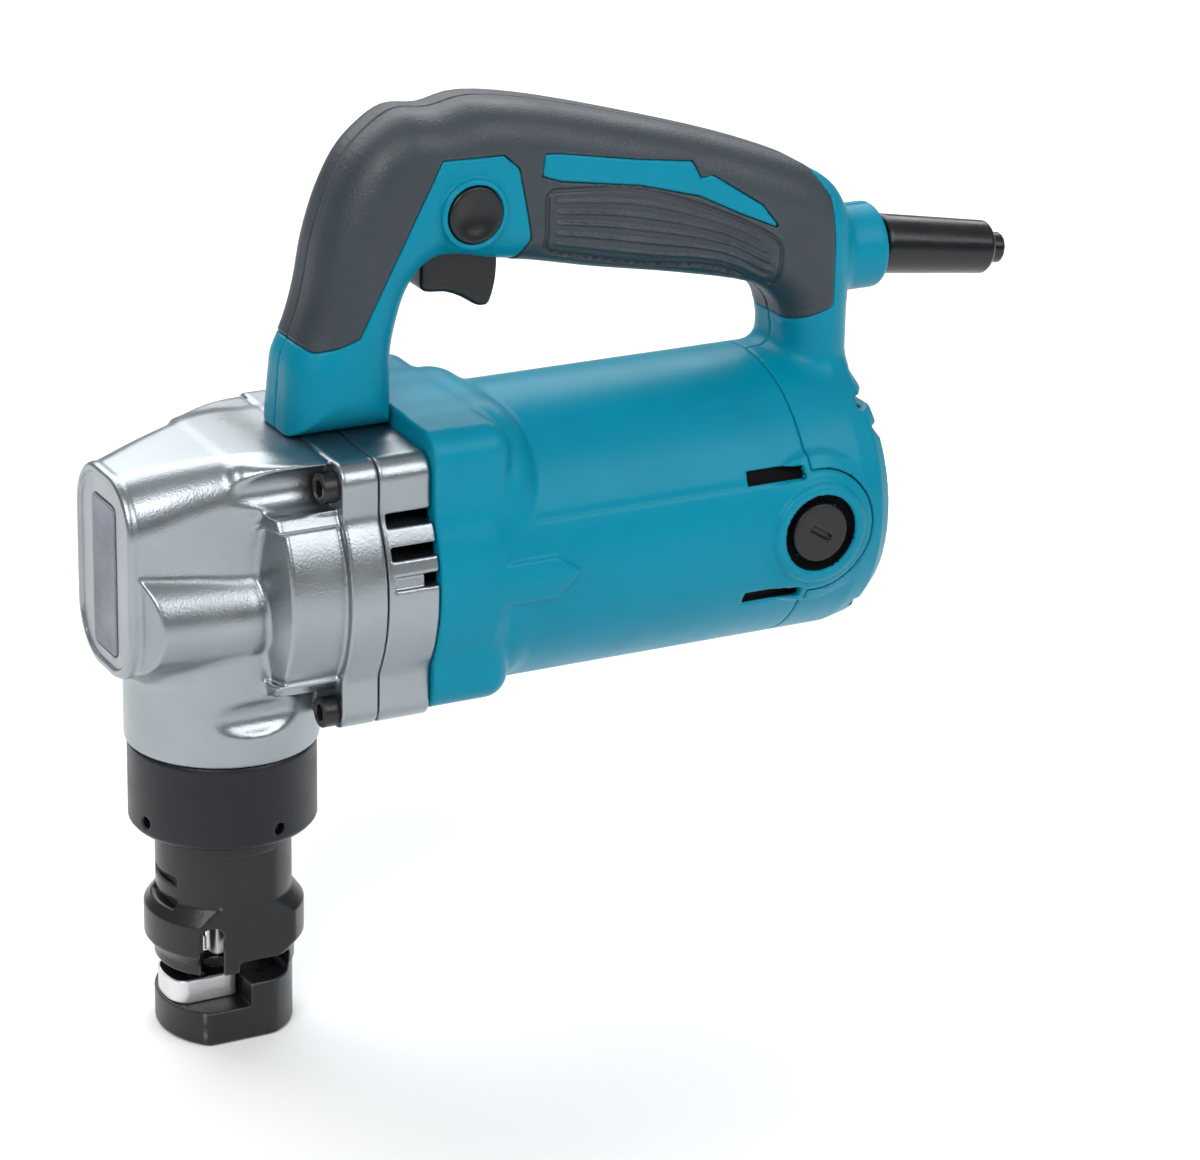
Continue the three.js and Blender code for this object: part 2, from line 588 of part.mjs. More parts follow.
function connectingRod() {
  const side = new THREE.Shape();
  side.moveTo(-5, WRIST_Z);
  side.lineTo(5, WRIST_Z);
  side.lineTo(8, PIN_TOP - 6);
  side.lineTo(-8, PIN_TOP - 6);
  const shank = frontSlab(side, -ROD_HALF, ROD_HALF);
  const bigEnd = alongX(14, -ROD_HALF, ROD_HALF, 0, PIN_TOP);
  const smallEnd = alongX(7.5, -ROD_HALF, ROD_HALF, 0, WRIST_Z, 28);
  return cut(
    join(shank, bigEnd, smallEnd),
    alongX(10, -9, 9, 0, PIN_TOP), alongX(4 + FIT, -9, 9, 0, WRIST_Z, 24));
}
piece('connecting_rod', connectingRod(), 'gearSteel');
piece('rod_bearing', cut(
  alongX(10, -ROD_HALF, ROD_HALF, 0, PIN_TOP), alongX(7, -9, 9, 0, PIN_TOP)), 'brightSteel');
piece('crank_pin', alongX(7, -ROD_HALF - 0.5, ROD_HALF, 0, PIN_TOP), 'brightSteel');

piece('guide_bush', cut(alongZ(13, 72, 92), alongZ(9 + FIT, 60, 110)), 'brass');
piece('ram_seal', cut(alongZ(13, 69, 71.8), alongZ(9.2, 60, 110)), 'felt');

// ---------------------------------------------------------------- crank shaft and gears
function gearShape(teeth) {
  const pitchR = GEAR_MODULE * teeth / 2;
  const rootR = pitchR - 1.15 * GEAR_MODULE;
  const tipR = pitchR + 0.75 * GEAR_MODULE;
  const step = 2 * Math.PI / teeth;
  const shape = new THREE.Shape();
  for (let tooth = 0; tooth < teeth; tooth += 1) {
    const centre = tooth * step;
    const corners = [[rootR, -0.27], [tipR, -0.1], [tipR, 0.1], [rootR, 0.27]];
    corners.forEach(([r, turn], index) => {
      const angle = centre + turn * step;
      const point = [r * Math.cos(angle), r * Math.sin(angle)];
      if (tooth === 0 && index === 0) shape.moveTo(...point);
      else shape.lineTo(...point);
    });
  }
  return shape;
}

// Gear with a tooth (or a gap) pointing at its mate, turned by `phase` teeth.
function gear(teeth, boreR, x0, x1, z, phase) {
  const geometry = extrude(gearShape(teeth), x1 - x0);
  const turn = new THREE.Matrix4().makeBasis(
    new THREE.Vector3(0, 1, 0), new THREE.Vector3(0, 0, 1), new THREE.Vector3(1, 0, 0));
  geometry.rotateZ(90 * DEG + phase * 2 * Math.PI / teeth).applyMatrix4(turn);
  const blank = solid(geometry.translate(x0, 0, z));
  return boreR > 0 ? cut(blank, alongX(boreR, x0 - 1, x1 + 1, 0, z)) : blank;
}

const CRANK_GEAR_X = [20, 25];

function crankShaft() {
  const web = alongX(14, 4.8, 9, 0, CRANK_Z);
  const weight = alongX(19, 4.8, 9, 0, CRANK_Z, 32).intersect(box(4, 9, -18, 18, CRANK_Z - 22, CRANK_Z - 4));
  return join(web, weight, alongX(7, 9, 25, 0, CRANK_Z));
}
piece('crankshaft', crankShaft(), 'gearSteel');
piece('crank_gear', gear(TEETH.crank, 7, ...CRANK_GEAR_X, CRANK_Z, 0.5), 'gearSteel');

function ring(outer, bore, x0, x1, z, sides = 28) {
  return cut(alongX(outer, x0, x1, 0, z, sides), alongX(bore, x0 - 1, x1 + 1, 0, z));
}
piece('crank_bearing_front', ring(14, 7 + FIT, 9.4, 14.4, CRANK_Z), 'brightSteel');
piece('crank_bearing_rear', ring(14, 7 + FIT, 14.6, 19.5, CRANK_Z), 'brightSteel');

function layShaft() {
  const pinion = gear(TEETH.laySmall, 0, 19.8, 25.4, LAY_Z, 0);
  return join(pinion, alongX(3.2, 16.9, 35.3, 0, LAY_Z));
}
piece('layshaft', layShaft(), 'gearSteel');
piece('layshaft_gear', gear(TEETH.layBig, 3.2, 25.8, SPLIT_X - GAP, LAY_Z, 0), 'gearSteel');
piece('layshaft_bearing_front', ring(5.5, 3.2 + FIT, 16.6, 19.5, LAY_Z), 'brightSteel');
piece('layshaft_bearing_rear', ring(6.5, 3.2 + FIT, SPLIT_X + 0.2, SPLIT_X + 4.2, LAY_Z), 'brightSteel');

// ---------------------------------------------------------------- motor
function armatureShaft() {
  const pinion = gear(TEETH.motor, 0, 25.7, 31, MOTOR_Z, 0.5);
  return join(pinion, alongX(4, 31, 186));
}
piece('armature_shaft', armatureShaft(), 'gearSteel');
piece('motor_bearing_front', ring(11, 4 + FIT, 38, 45.2, MOTOR_Z), 'brightSteel');
piece('motor_bearing_rear', ring(11, 4 + FIT, 179.5, 186.3, MOTOR_Z), 'brightSteel');

function fan() {
  const hub = cut(turnedX([[0, 50], [36, 50], [36, 51.6], [12, 54], [10, 60], [0, 60]], MOTOR_Z, 32),
    alongX(4, 45, 65));
  let wheel = hub;
  for (let blade = 0; blade < 11; blade += 1) {
    const vane = box(50.5, 60, -0.8, 0.8, 14, 35).rotate([blade * 360 / 11, 0, 0]).translate([0, 0, MOTOR_Z]);
    wheel = wheel.add(vane);
  }
  return wheel;
}
piece('fan', fan(), 'blackPlastic');
piece('fan_baffle', ring(BORE_R, 27, 62, 64, MOTOR_Z, 40), 'blackPlastic');

function rotorCore() {
  let core = ring(21.5, 4, 72, 122, MOTOR_Z, 32);
  for (let slot = 0; slot < 12; slot += 1) {
    const groove = box(71, 123, -0.9, 0.9, 15, 23).rotate([slot * 30, 0, 0]).translate([0, 0, MOTOR_Z]);
    core = core.subtract(groove);
  }
  return core;
}
piece('rotor_core', rotorCore(), 'coreSteel');
piece('commutator', ring(13, 4, 156, 174, MOTOR_Z, 24), 'copper');

function stator() {
  const outer = alongX(BORE_R - FIT, 70, 124, 0, MOTOR_Z, 40);
  const bore = alongX(22.3, 69, 125, 0, MOTOR_Z, 32);
  const windingRoom = [-1, 1].map((side) => box(
    69, 125, -20, 20, side < 0 ? MOTOR_Z - 32 : MOTOR_Z + 16, side < 0 ? MOTOR_Z - 16 : MOTOR_Z + 32));
  return cut(outer, bore, ...windingRoom);
}
piece('stator', stator(), 'coreSteel');

// ---------------------------------------------------------------- brushes, one set each side
function coil(radius, wire, length, turns) {
  class Helix extends THREE.Curve {
    getPoint(t) {
      const angle = t * turns * 2 * Math.PI;
      return new THREE.Vector3(radius * Math.cos(angle), radius * Math.sin(angle), t * length);
    }
  }
  const section = polygon([[wire, 0], [0, wire], [-wire, 0], [0, -wire]]);
  return new THREE.ExtrudeGeometry(section, {
    steps: turns * 8, extrudePath: new Helix(), bevelEnabled: false });
}

for (const [word, side] of [['left', -1], ['right', 1]]) {
  const span = (near, far) => (side < 0 ? [-far, -near] : [near, far]);
  const [holderLow, holderHigh] = span(14.5, 37.5);
  const holder = cut(
    box(BRUSH_X - 6, BRUSH_X + 6, holderLow, holderHigh, MOTOR_Z - 7, MOTOR_Z + 7),
    box(BRUSH_X - 3.2, BRUSH_X + 3.2, holderLow - 1, holderHigh + 1, MOTOR_Z - 4.5, MOTOR_Z + 4.5));
  piece(`brush_holder_${word}`, holder, 'brass');
  const [brushLow, brushHigh] = span(13.1, 26);
  piece(`carbon_brush_${word}`,
    box(BRUSH_X - 3.1, BRUSH_X + 3.1, brushLow, brushHigh, MOTOR_Z - 4.4, MOTOR_Z + 4.4), 'carbon');
  const spring = piece(`brush_spring_${word}`, coil(2.2, 0.4, 10, 4), 'brightSteel');
  spring.rotation.x = side < 0 ? 90 * DEG : -90 * DEG;
  spring.position.set(BRUSH_X, side * 26.8, MOTOR_Z);
  const cap = join(
    alongY(8.7, ...span(41.2, 43.4), BRUSH_X, MOTOR_Z), alongY(5.9, ...span(37.8, 41.5), BRUSH_X, MOTOR_Z));
  const slot = box(BRUSH_X - 6, BRUSH_X + 6, ...span(42.2, 45), MOTOR_Z - 0.9, MOTOR_Z + 0.9);
  piece(`brush_cap_${word}`, cut(cap, slot), 'blackPlastic');
}

// ---------------------------------------------------------------- switch, trigger, lock button
piece('switch_body', box(54, 87, -9, 9, 233.6, 250), 'blackPlastic');

function trigger() {
  const side = new THREE.Shape();
  side.moveTo(57, 226);
  side.lineTo(57, 210);
  side.lineTo(63.3, 209.6);
  side.quadraticCurveTo(69, 208.5, 73.5, 203.8);
  side.lineTo(77.7, 203.3);
  side.lineTo(80.2, 213);
  side.lineTo(80.2, 226);
  return sideSlab(side, -7.6, 7.6, 1);
}
piece('trigger', trigger(), 'blackPlastic');
const triggerSpring = piece('trigger_spring', coil(3, 0.5, 6.2, 3), 'brightSteel');
triggerSpring.position.set(68, 0, 226.7);

const button = cut(
  alongY(BUTTON.r, -18, -12.6, BUTTON.x, BUTTON.z),
  solid(new THREE.SphereGeometry(14, 24, 16).translate(BUTTON.x, -30.6, BUTTON.z)));
piece('lock_button', button, 'blackPlastic');

nibbler.position.x = -FOOT_X;

export default nibbler;
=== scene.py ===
"""Finished looks of a hand-held electric nibbler for steel sheet.

The cast, moulded and machined pieces are distance fields, meshed smoothly and laid over the CAD
frame. Field coordinates are millimetres: x along the motor axis from the punch axis, y across the
tool and z up from the foot. Pieces inside the cases stay the CAD's own and only get materials,
except the trigger spring, which is remade as a mesh of its own.
"""

import json
import math

import bpy
import numpy as np
from mathutils import Matrix, Vector


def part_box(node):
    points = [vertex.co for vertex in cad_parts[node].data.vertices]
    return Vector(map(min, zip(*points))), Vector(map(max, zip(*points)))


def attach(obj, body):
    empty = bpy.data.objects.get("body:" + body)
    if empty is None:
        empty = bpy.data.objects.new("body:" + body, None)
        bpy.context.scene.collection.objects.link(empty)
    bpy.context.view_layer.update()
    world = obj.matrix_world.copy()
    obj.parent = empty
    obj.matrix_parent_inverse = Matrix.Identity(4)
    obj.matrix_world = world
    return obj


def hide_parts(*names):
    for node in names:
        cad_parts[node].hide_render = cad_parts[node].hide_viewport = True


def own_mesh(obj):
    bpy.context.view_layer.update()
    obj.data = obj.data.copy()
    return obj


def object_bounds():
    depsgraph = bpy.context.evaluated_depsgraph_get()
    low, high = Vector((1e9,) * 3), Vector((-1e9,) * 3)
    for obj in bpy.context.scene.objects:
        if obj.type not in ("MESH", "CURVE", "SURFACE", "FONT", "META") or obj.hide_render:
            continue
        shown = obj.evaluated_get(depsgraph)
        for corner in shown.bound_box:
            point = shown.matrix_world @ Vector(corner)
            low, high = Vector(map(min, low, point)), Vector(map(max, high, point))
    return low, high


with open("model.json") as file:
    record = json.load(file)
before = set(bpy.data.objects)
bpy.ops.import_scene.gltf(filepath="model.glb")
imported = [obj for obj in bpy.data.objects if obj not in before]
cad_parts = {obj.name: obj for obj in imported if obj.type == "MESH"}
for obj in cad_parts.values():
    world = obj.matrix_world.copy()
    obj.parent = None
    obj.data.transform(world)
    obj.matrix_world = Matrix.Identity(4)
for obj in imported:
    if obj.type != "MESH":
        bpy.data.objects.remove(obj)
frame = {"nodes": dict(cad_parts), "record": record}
cad_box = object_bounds()

# ---------------------------------------------------------------- dimensions read off the frame
MM = 0.001
LOW_NUT, HIGH_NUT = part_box("lock_nut")
SHIFT = np.array([(LOW_NUT[0] + HIGH_NUT[0]) / 2 / MM, 0.0, 0.0])   # frame place of the punch axis


def edges(node):
    """Lowest and highest corner of a CAD node in millimetres, x counted from the punch axis."""
    low, high = (np.array(corner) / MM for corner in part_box(node))
    return low - SHIFT, high - SHIFT


def middle(node):
    low, high = edges(node)
    return (low + high) / 2


MOTOR_Z = middle("motor_bearing_rear")[2]
CRANK_Z = middle("crank_bearing_front")[2]
LAY_Z = middle("layshaft_bearing_front")[2]
FRONT_X = edges("gear_housing")[0][0]
SPLIT_X, COVER_X = (corner[0] for corner in edges("gear_cover"))
FLANGE_LOW, FLANGE_TOP = (corner[2] for corner in edges("gear_cover"))
FLANGE_HALF = 36.5
DRUM_R = edges("gear_cover")[1][1]
SCREW_HEAD = 4.5                                # height of the flange screws' heads
SEAT_X = edges("flange_screw_1")[0][0] + SCREW_HEAD
SCREW_Y = abs(middle("flange_screw_1")[1])
SCREW_HIGH, SCREW_LOW = middle("flange_screw_1")[2], middle("flange_screw_2")[2]
NUT_LOW, NUT_TOP = (corner[2] for corner in edges("lock_nut"))
NUT_R = 26.4
SPANNER_HOLE = math.radians(14)                 # bearing of the first of the nut's four holes
BRUSH_X = middle("brush_cap_left")[0]
BUTTON_X, _, BUTTON_Z = middle("lock_button")
CROWN_Z = edges("handle_left")[1][2]            # top of the handle
SEAM_X = 163.0                                  # motor housing to rear cover
REAR_X = 190.5                                  # back of the rear cover
BARREL_R = 42.2                                 # motor housing, outside
BORE_R = 38.5                                   # motor housing, inside
NECK_R = 19.15                                  # round neck of the die holder
FLAT_Y = 17.4                                   # milled flats on both sides of the die holder
TIP_X = -2.6                                    # axis of the punch's working end
DIE_FRONT = 19.2
DIE_HALF = 8.7
DIE_SCREW_X, DIE_SCREW_Y = -11, 5
DIE_LOW, DIE_TOP = (corner[2] for corner in edges("die"))
CORD_R = 4.5
CORD_Z = edges("cord")[1][2] - CORD_R
CORD_BEND_X = 203.0
DROOP = math.radians(8.7)
CORD_LENGTH = (edges("cord")[1][0] - CORD_BEND_X - CORD_R * math.sin(DROOP)) / math.cos(DROOP)
GUARD_LENGTH = CORD_LENGTH - 5


# ---------------------------------------------------------------- distance field tools
def union(k, *fields):
    """Union whose inside corners are filled with a fillet about k wide."""
    body = fields[0]
    for other in fields[1:]:
        near = np.maximum(k - np.abs(body - other), 0) / k if k > 0 else 0
        body = np.minimum(body, other) - near * near * k / 4
    return body


def overlap(k, *fields):
    """Intersection whose outside corners are rounded over about k."""
    return -union(k, *(-field for field in fields))


def minus(k, body, *tools):
    return overlap(k, body, *(-tool for tool in tools))


def slab(u, low, high):
    return np.abs(u - (low + high) / 2) - (high - low) / 2


def rounded(a, b, r):
    """Intersection of two fields with a true round edge of radius r."""
    a = a + r
    b = b + r
    return np.minimum(np.maximum(a, b), 0) + np.hypot(np.maximum(a, 0), np.maximum(b, 0)) - r


def rect(u, v, u0, u1, v0, v1, r):
    return rounded(slab(u, u0, u1), slab(v, v0, v1), r)


def polygon(u, v, corners):
    """Signed distance to a closed outline, negative inside."""
    u, v = np.broadcast_arrays(u, v)
    best = np.full(u.shape, 1e9)
    inside = np.zeros(u.shape, bool)
    for (au, av), (bu, bv) in zip(corners, corners[1:] + corners[:1]):
        eu, ev = bu - au, bv - av
        wu, wv = u - au, v - av
        t = np.clip((wu * eu + wv * ev) / (eu * eu + ev * ev), 0, 1)
        best = np.minimum(best, (wu - t * eu) ** 2 + (wv - t * ev) ** 2)
        crosses = (av <= v) != (bv <= v)
        side = wu * ev - wv * eu
        inside ^= crosses & ((side < 0) == (ev > 0))
    return np.where(inside, -1, 1) * np.sqrt(best)


def turned(r, along, profile):
    """Turned body from [radius, distance along] corners; corners on the axis go past it."""
    corners = [(radius if radius > 0 else -60.0, place) for radius, place in profile]
    return polygon(r, along, corners)


def curve(u, places, values):
    """Smooth curve through values at places, level beyond both ends."""
    places, values = np.array(places, float), np.array(values, float)
    slope = np.gradient(values, places)
    i = np.clip(np.searchsorted(places, u) - 1, 0, len(places) - 2)
    h = places[i + 1] - places[i]
    t = np.clip((u - places[i]) / h, 0, 1)
    rise = values[i + 1] - values[i]
    return (values[i] + t * (h * slope[i])
            + t * t * (3 * rise - h * (2 * slope[i] + slope[i + 1]))
            + t * t * t * (h * (slope[i] + slope[i + 1]) - 2 * rise))


def spline(points, pieces=4):
    """Outline corners along a Catmull-Rom curve through the points."""
    points = [np.array(point, float) for point in points]
    ends = [2 * points[0] - points[1]] + points + [2 * points[-1] - points[-2]]
    corners = []
    for a, b, c, d in zip(ends, ends[1:], ends[2:], ends[3:]):
        for step in range(pieces):
            t = step / pieces
            corners.append(tuple(0.5 * (2 * b + (c - a) * t + (2 * a - 5 * b + 4 * c - d) * t * t
                                        + (3 * b - a - 3 * c + d) * t ** 3)))
    return corners + [tuple(points[-1])]


CORNERS = [(i, j, k) for i in (0, 1) for j in (0, 1) for k in (0, 1)]
CELL_EDGES = [(a, b) for a in range(8) for b in range(a + 1, 8)
              if sum(abs(p - q) for p, q in zip(CORNERS[a], CORNERS[b])) == 1]


def net_vertices(values, cells):
    """One point in each cell that the surface crosses, at the mean of its edge crossings."""
    corner = [values[tuple((cells + offset).T)] for offset in CORNERS]
    total = np.zeros(cells.shape)
    count = np.zeros(len(cells))
    for a, b in CELL_EDGES:
        crossed = (corner[a] < 0) != (corner[b] < 0)
        t = np.where(crossed, corner[a] / np.where(crossed, corner[a] - corner[b], 1), 0)
        start, end = np.array(CORNERS[a]), np.array(CORNERS[b])
        total += np.where(crossed[:, None], start + t[:, None] * (end - start), 0)
        count += crossed
    return cells + total / count[:, None]


def net_faces(inside, index):
    """Quads round every grid edge that the surface crosses, facing out of the body."""
    faces = []
    for axis in range(3):
        u, v = (axis + 1) % 3, (axis + 2) % 3
        below = np.take(inside, range(inside.shape[axis] - 1), axis)
        above = np.take(inside, range(1, inside.shape[axis]), axis)
        places = np.argwhere(below != above)
        places = places[(places[:, u] > 0) & (places[:, v] > 0)]
        step_u, step_v = np.eye(3, dtype=int)[u], np.eye(3, dtype=int)[v]
        ring = [places - step_u - step_v, places - step_v, places, places - step_u]
        quad = np.stack([index[tuple(cell.T)] for cell in ring], 1)
        outward = below[tuple(places.T)]
        faces.append(np.where(outward[:, None], quad, quad[:, ::-1]))
    return np.concatenate(faces)


def settle(field, points, step, rounds=4):
    """Slides each point along the field's gradient until it lies on the surface."""
    nudge = 0.02
    for _ in range(rounds):
        x, y, z = points.T
        value = field(x, y, z)
        slope = np.stack([
            field(x + nudge, y, z) - field(x - nudge, y, z),
            field(x, y + nudge, z) - field(x, y - nudge, z),
            field(x, y, z + nudge) - field(x, y, z - nudge)], 1) / (2 * nudge)
        move = value / np.maximum((slope ** 2).sum(1), 0.1)
        points = points - slope * np.clip(move, -step / 2, step / 2)[:, None]
    return points


def mesh_field(name, field, low, high, step):
    """Closed mesh of the surface where the field is zero, inside the box from low to high."""
    axes = [np.arange(low[i] - 2 * step, high[i] + 3 * step, step) for i in range(3)]
    x, y, z = np.meshgrid(*axes, indexing="ij", sparse=True)
    shape = tuple(len(axis) for axis in axes)
    values = np.broadcast_to(field(x, y, z), shape)
    inside = values < 0
    count = sum(inside[i:shape[0] - 1 + i, j:shape[1] - 1 + j, k:shape[2] - 1 + k].astype(int)
                for i, j, k in CORNERS)
    active = (count > 0) & (count < 8)
    index = np.full(active.shape, -1)
    index[active] = np.arange(active.sum())
    cells = np.argwhere(active)
    points = net_vertices(values, cells) * step + [axis[0] for axis in axes]
    points = settle(field, points, step)
    faces = net_faces(inside, index)
    mesh = bpy.data.meshes.new(name)
    mesh.vertices.add(len(points))
    mesh.vertices.foreach_set("co", ((points + SHIFT) * MM).astype(np.float32).ravel())
    mesh.loops.add(faces.size)
    mesh.loops.foreach_set("vertex_index", faces.astype(np.int32).ravel())
    mesh.polygons.add(len(faces))
    mesh.polygons.foreach_set("loop_start", np.arange(0, faces.size, 4, dtype=np.int32))
    mesh.update(calc_edges=True)
    mesh.polygons.foreach_set("use_smooth", np.ones(len(faces), bool))
    mesh.validate()
    obj = bpy.data.objects.new(name, mesh)
    bpy.context.scene.collection.objects.link(obj)
    return obj


# ---------------------------------------------------------------- gear housing
def screw_line(y, z):
    """Distance from the nearest of the four flange screw axes."""
    return np.hypot(np.abs(y) - SCREW_Y, np.minimum(np.abs(z - SCREW_HIGH), np.abs(z - SCREW_LOW)))


def flange_section(y, z):
    """Section shared by flange and cover: a rounded square across a round drum."""
    square = rect(y, z, -FLANGE_HALF, FLANGE_HALF, FLANGE_LOW, FLANGE_TOP, 6)
    drum = overlap(1.5, np.hypot(y, z - MOTOR_Z) - DRUM_R, slab(z, FLANGE_LOW, FLANGE_TOP))
    return union(1.2, square, drum)


def head(x, y, z):
    """Tapering front of the gear housing with a raised lip round its front face."""
    places = [FRONT_X, FRONT_X + 6, -15, -2, 7, 15, SEAT_X + 1]
    half = curve(x, places, [19.3, 20.8, 23.5, 26, 26, 26, 26])
    low = curve(x, places, [112, 110, 108.5, 107, 107, 107, 107])
    top = curve(x, places, [169.5, 171, 173.5, 175, 175, 173.8, 173.6])
    corner = curve(x, places, [15, 15, 13, 11, 9, 9, 9])
    body = rounded(np.abs(y) - half, slab(z, low, top), corner)
    neck = overlap(0.8, body + 0.55, slab(x, FRONT_X, SEAT_X + 2))
    lip = rounded(body, slab(x, FRONT_X, FRONT_X + 2), 0.6)
    face = overlap(0.3, body + 2.2, x - FRONT_X - 0.5)
    return minus(0.3, union(0.8, neck, lip), face)


def shoulders(x, y, z):
    """Widens the top of the head out to the flange above the upper screws."""
    half = curve(x, [-3, 5, 13, SEAT_X + 1], [25, 30, 34, 35.2])
    section = rounded(np.abs(y) - half, slab(z, 159.5, FLANGE_TOP - 0.3), 5)
    return rounded(section, slab(x, -6, SEAT_X + 1), 3)


def side_bulge(x, y, z):
    """Round-ended bar along each side of the head, splayed outwards and cut at a slant in front."""
    splay = math.radians(6)
    forward, out = x + 31, np.abs(y) - 12.6
    along = forward * math.cos(splay) + out * math.sin(splay)
    beside = out * math.cos(splay) - forward * math.sin(splay)
    past = along - np.clip(along, -20, 29)
    bar = np.sqrt(past ** 2 + beside ** 2 + (z - CRANK_Z) ** 2) - 15.2
    slant = 0.38 * (np.abs(y) - 20.5) - 0.925 * forward
    return overlap(0.6, bar, slant, -forward)


def gear_band(x, y, z):
    """Round gear case between head and flange, with a raised bar along its top and bottom."""
    r = np.hypot(y, z - MOTOR_Z)
    drum = turned(r, x, [(0, -1), (26, 0), (39.4, 4.6), (40, 5.4), (40, SEAT_X + 4), (0, SEAT_X + 4)])
    drum = overlap(1, drum, slab(z, 109, 160.5))
    ledge = np.minimum(slab(z, 156.8, 161), slab(z, 108.5, 112.8))
    rim = turned(r, x, [(0, -3), (27, -2.2), (40.4, 2.6), (41.2, 3.6), (41.2, SEAT_X + 2), (0, SEAT_X + 2)])
    return union(0.7, drum, overlap(0.9, rim, ledge))


def gear_rooms(x, y, z):
    """Space inside the gear housing: gears, crank, connecting rod, bearings and ram."""
    motor = np.hypot(y, z - MOTOR_Z)
    crank = np.hypot(y, z - CRANK_Z)
    gears = np.minimum(overlap(0, np.hypot(y, z - 135) - 24.5, slab(x, 19.5, 40)),
                       overlap(0, motor - 34, slab(x, 25, 40)))
    gears = overlap(0, gears, slab(y, -24.8, 24.8), slab(z, 100, 172.5))
    chamber = overlap(0, crank - 24.8, slab(x, -8, 9.2), slab(y, -22.6, 22.6))
    front = overlap(0, np.hypot(y, z - 134) - 16, slab(x, -29, -7))
    bearing = overlap(0, crank - 14.05, slab(x, 8, 21))
    lay = overlap(0, np.hypot(y, z - LAY_Z) - 5.55, slab(x, 16.5, 21))
    bore = overlap(0, np.hypot(x, y) - 13.05, slab(z, 66, 112))
    return union(0, gears, chamber, front, bearing, lay, bore)


def gear_housing(x, y, z):
    radial = np.hypot(x, y)
    nose = rounded(radial - 27.2, slab(z, NUT_TOP + 0.25, 120), 0.8)
    body = union(3, head(x, y, z), nose)
    body = union(1.6, body, side_bulge(x, y, z))
    body = union(2.2, body, shoulders(x, y, z))
    body = union(1.4, body, gear_band(x, y, z))
    pockets = overlap(0, screw_line(y, z) - 6.1, slab(x, -25, SEAT_X))
    body = minus(1.1, body, pockets)
    body = union(0.8, body, rounded(flange_section(y, z), slab(x, SEAT_X, SPLIT_X - 0.1), 0.9))
    body = union(0.3, body, rounded(radial - 21.6, slab(z, 69, 90), 0.4))
    screws = overlap(0, screw_line(y, z) - 2.6, slab(x, SEAT_X - 1, 40))
    plate = overlap(0, rect(y, z, -8.3, 8.3, 117.7, 161.3, 2.3), x - FRONT_X - 1.3)
    return minus(0.35, body, screws, gear_rooms(x, y, z), plate)


def gear_cover(x, y, z):
    motor = np.hypot(y, z - MOTOR_Z)
    body = rounded(flange_section(y, z), slab(x, SPLIT_X + 0.1, COVER_X - 0.05), 0.9)
    long_slots = overlap(0, np.minimum(slab(z, 155.3, 159), slab(z, 146.9, 150.6)), 33 - x, 16 - motor)
    short_slot = overlap(0, slab(z, 138.8, 142.5), 42.5 - x, 16 - motor)
    blind_slot = overlap(0, slab(z, 138.8, 142.5), 33.5 - x, DRUM_R - 1.2 - motor)
    boss = overlap(0, motor - 15, x - COVER_X + 1.6)
    exhaust = overlap(0, motor - 34, SPLIT_X + 5 - x, -boss)
    bearing = overlap(0, motor - 11.05, SPLIT_X + 6 - x)
    lay = overlap(0, np.hypot(y, z - LAY_Z) - 6.55, x - SPLIT_X - 4.25)
    return minus(0.35, body, exhaust, long_slots, short_slot, blind_slot, screw_line(y, z) - 2.6,
                 bearing, motor - 6.05, lay)


# ---------------------------------------------------------------- motor housing and rear cover
def brush_boss(x, y, z):
    """Cone and collar round each brush cap."""
    r = np.hypot(x - BRUSH_X, z - MOTOR_Z)
    return turned(r, np.abs(y), [
        (0, 30), (22.6, 30), (22, 38), (16.4, 41.6), (15, 42), (14.2, 43.5), (13.4, 43.85), (0, 43.85)])


def motor_outside(x, y, z):
    """Outside of the motor, from the gear cover to the back of the rear cover."""
    r = np.hypot(y, z - MOTOR_Z)
    barrel = turned(r, x, [
        (0, COVER_X), (43.7, COVER_X), (43.7, 64), (BARREL_R, 69), (BARREL_R, 180), (40.8, 186.5),
        (37.5, REAR_X), (0, REAR_X)])
    boss = rounded(rect(y, z, -38.8, 38.8, 98.8, 179.3, 8), slab(x, 30, 71.5), 7)
    skirt = rounded(rect(y, z, -38.5, 38.5, 97.5, 179.3, 25), slab(x, 30, 82), 11)
    front = np.maximum(union(1.2, boss, skirt), COVER_X - x)
    rib_outline = polygon(x, z, [(60, 129), (60, 141.6), (82, 141.6), (90, 136.4), (82.5, 129)])
    rib_top = r - BARREL_R - 1.75 + 0.1 * np.abs(z - MOTOR_Z)
    rib = overlap(0.4, rib_outline + 0.5 * np.maximum(r - BARREL_R, 0), rib_top, 30 - np.abs(y))
    body = union(1.6, barrel, front)
    body = union(0.5, body, rib)
    body = union(1.2, body, brush_boss(x, y, z))
    line = np.hypot(r - BARREL_R - 0.25, z - 151.6) - 0.75
    return minus(0.5, body, overlap(0.3, line, slab(x, 78, 162)))


def blind_slots(x, y, z):
    """Recesses above and below each brush, beside the rear seam, whose walls get painted shade."""
    slots = np.minimum(slab(z, 151.4, 154.9), slab(z, 115.6, 119))
    return overlap(0, slots, slab(x, 143.6, 161), 40.3 - np.hypot(y, z - MOTOR_Z), 20 - np.abs(y))


def slot_painted_shade(x, y, z):
    """Below zero round the blind slots and the gap round each brush cap, under the outer skin, where faces
    get painted shade.
    """
    skin = np.hypot(y, z - MOTOR_Z) - BARREL_R + 0.4
    gap = overlap(0, np.hypot(x - BRUSH_X, z - MOTOR_Z) - 11.8, slab(np.abs(y), 39.8, 43))
    return np.minimum(overlap(0, blind_slots(x, y, z) - 0.4, skin), gap)


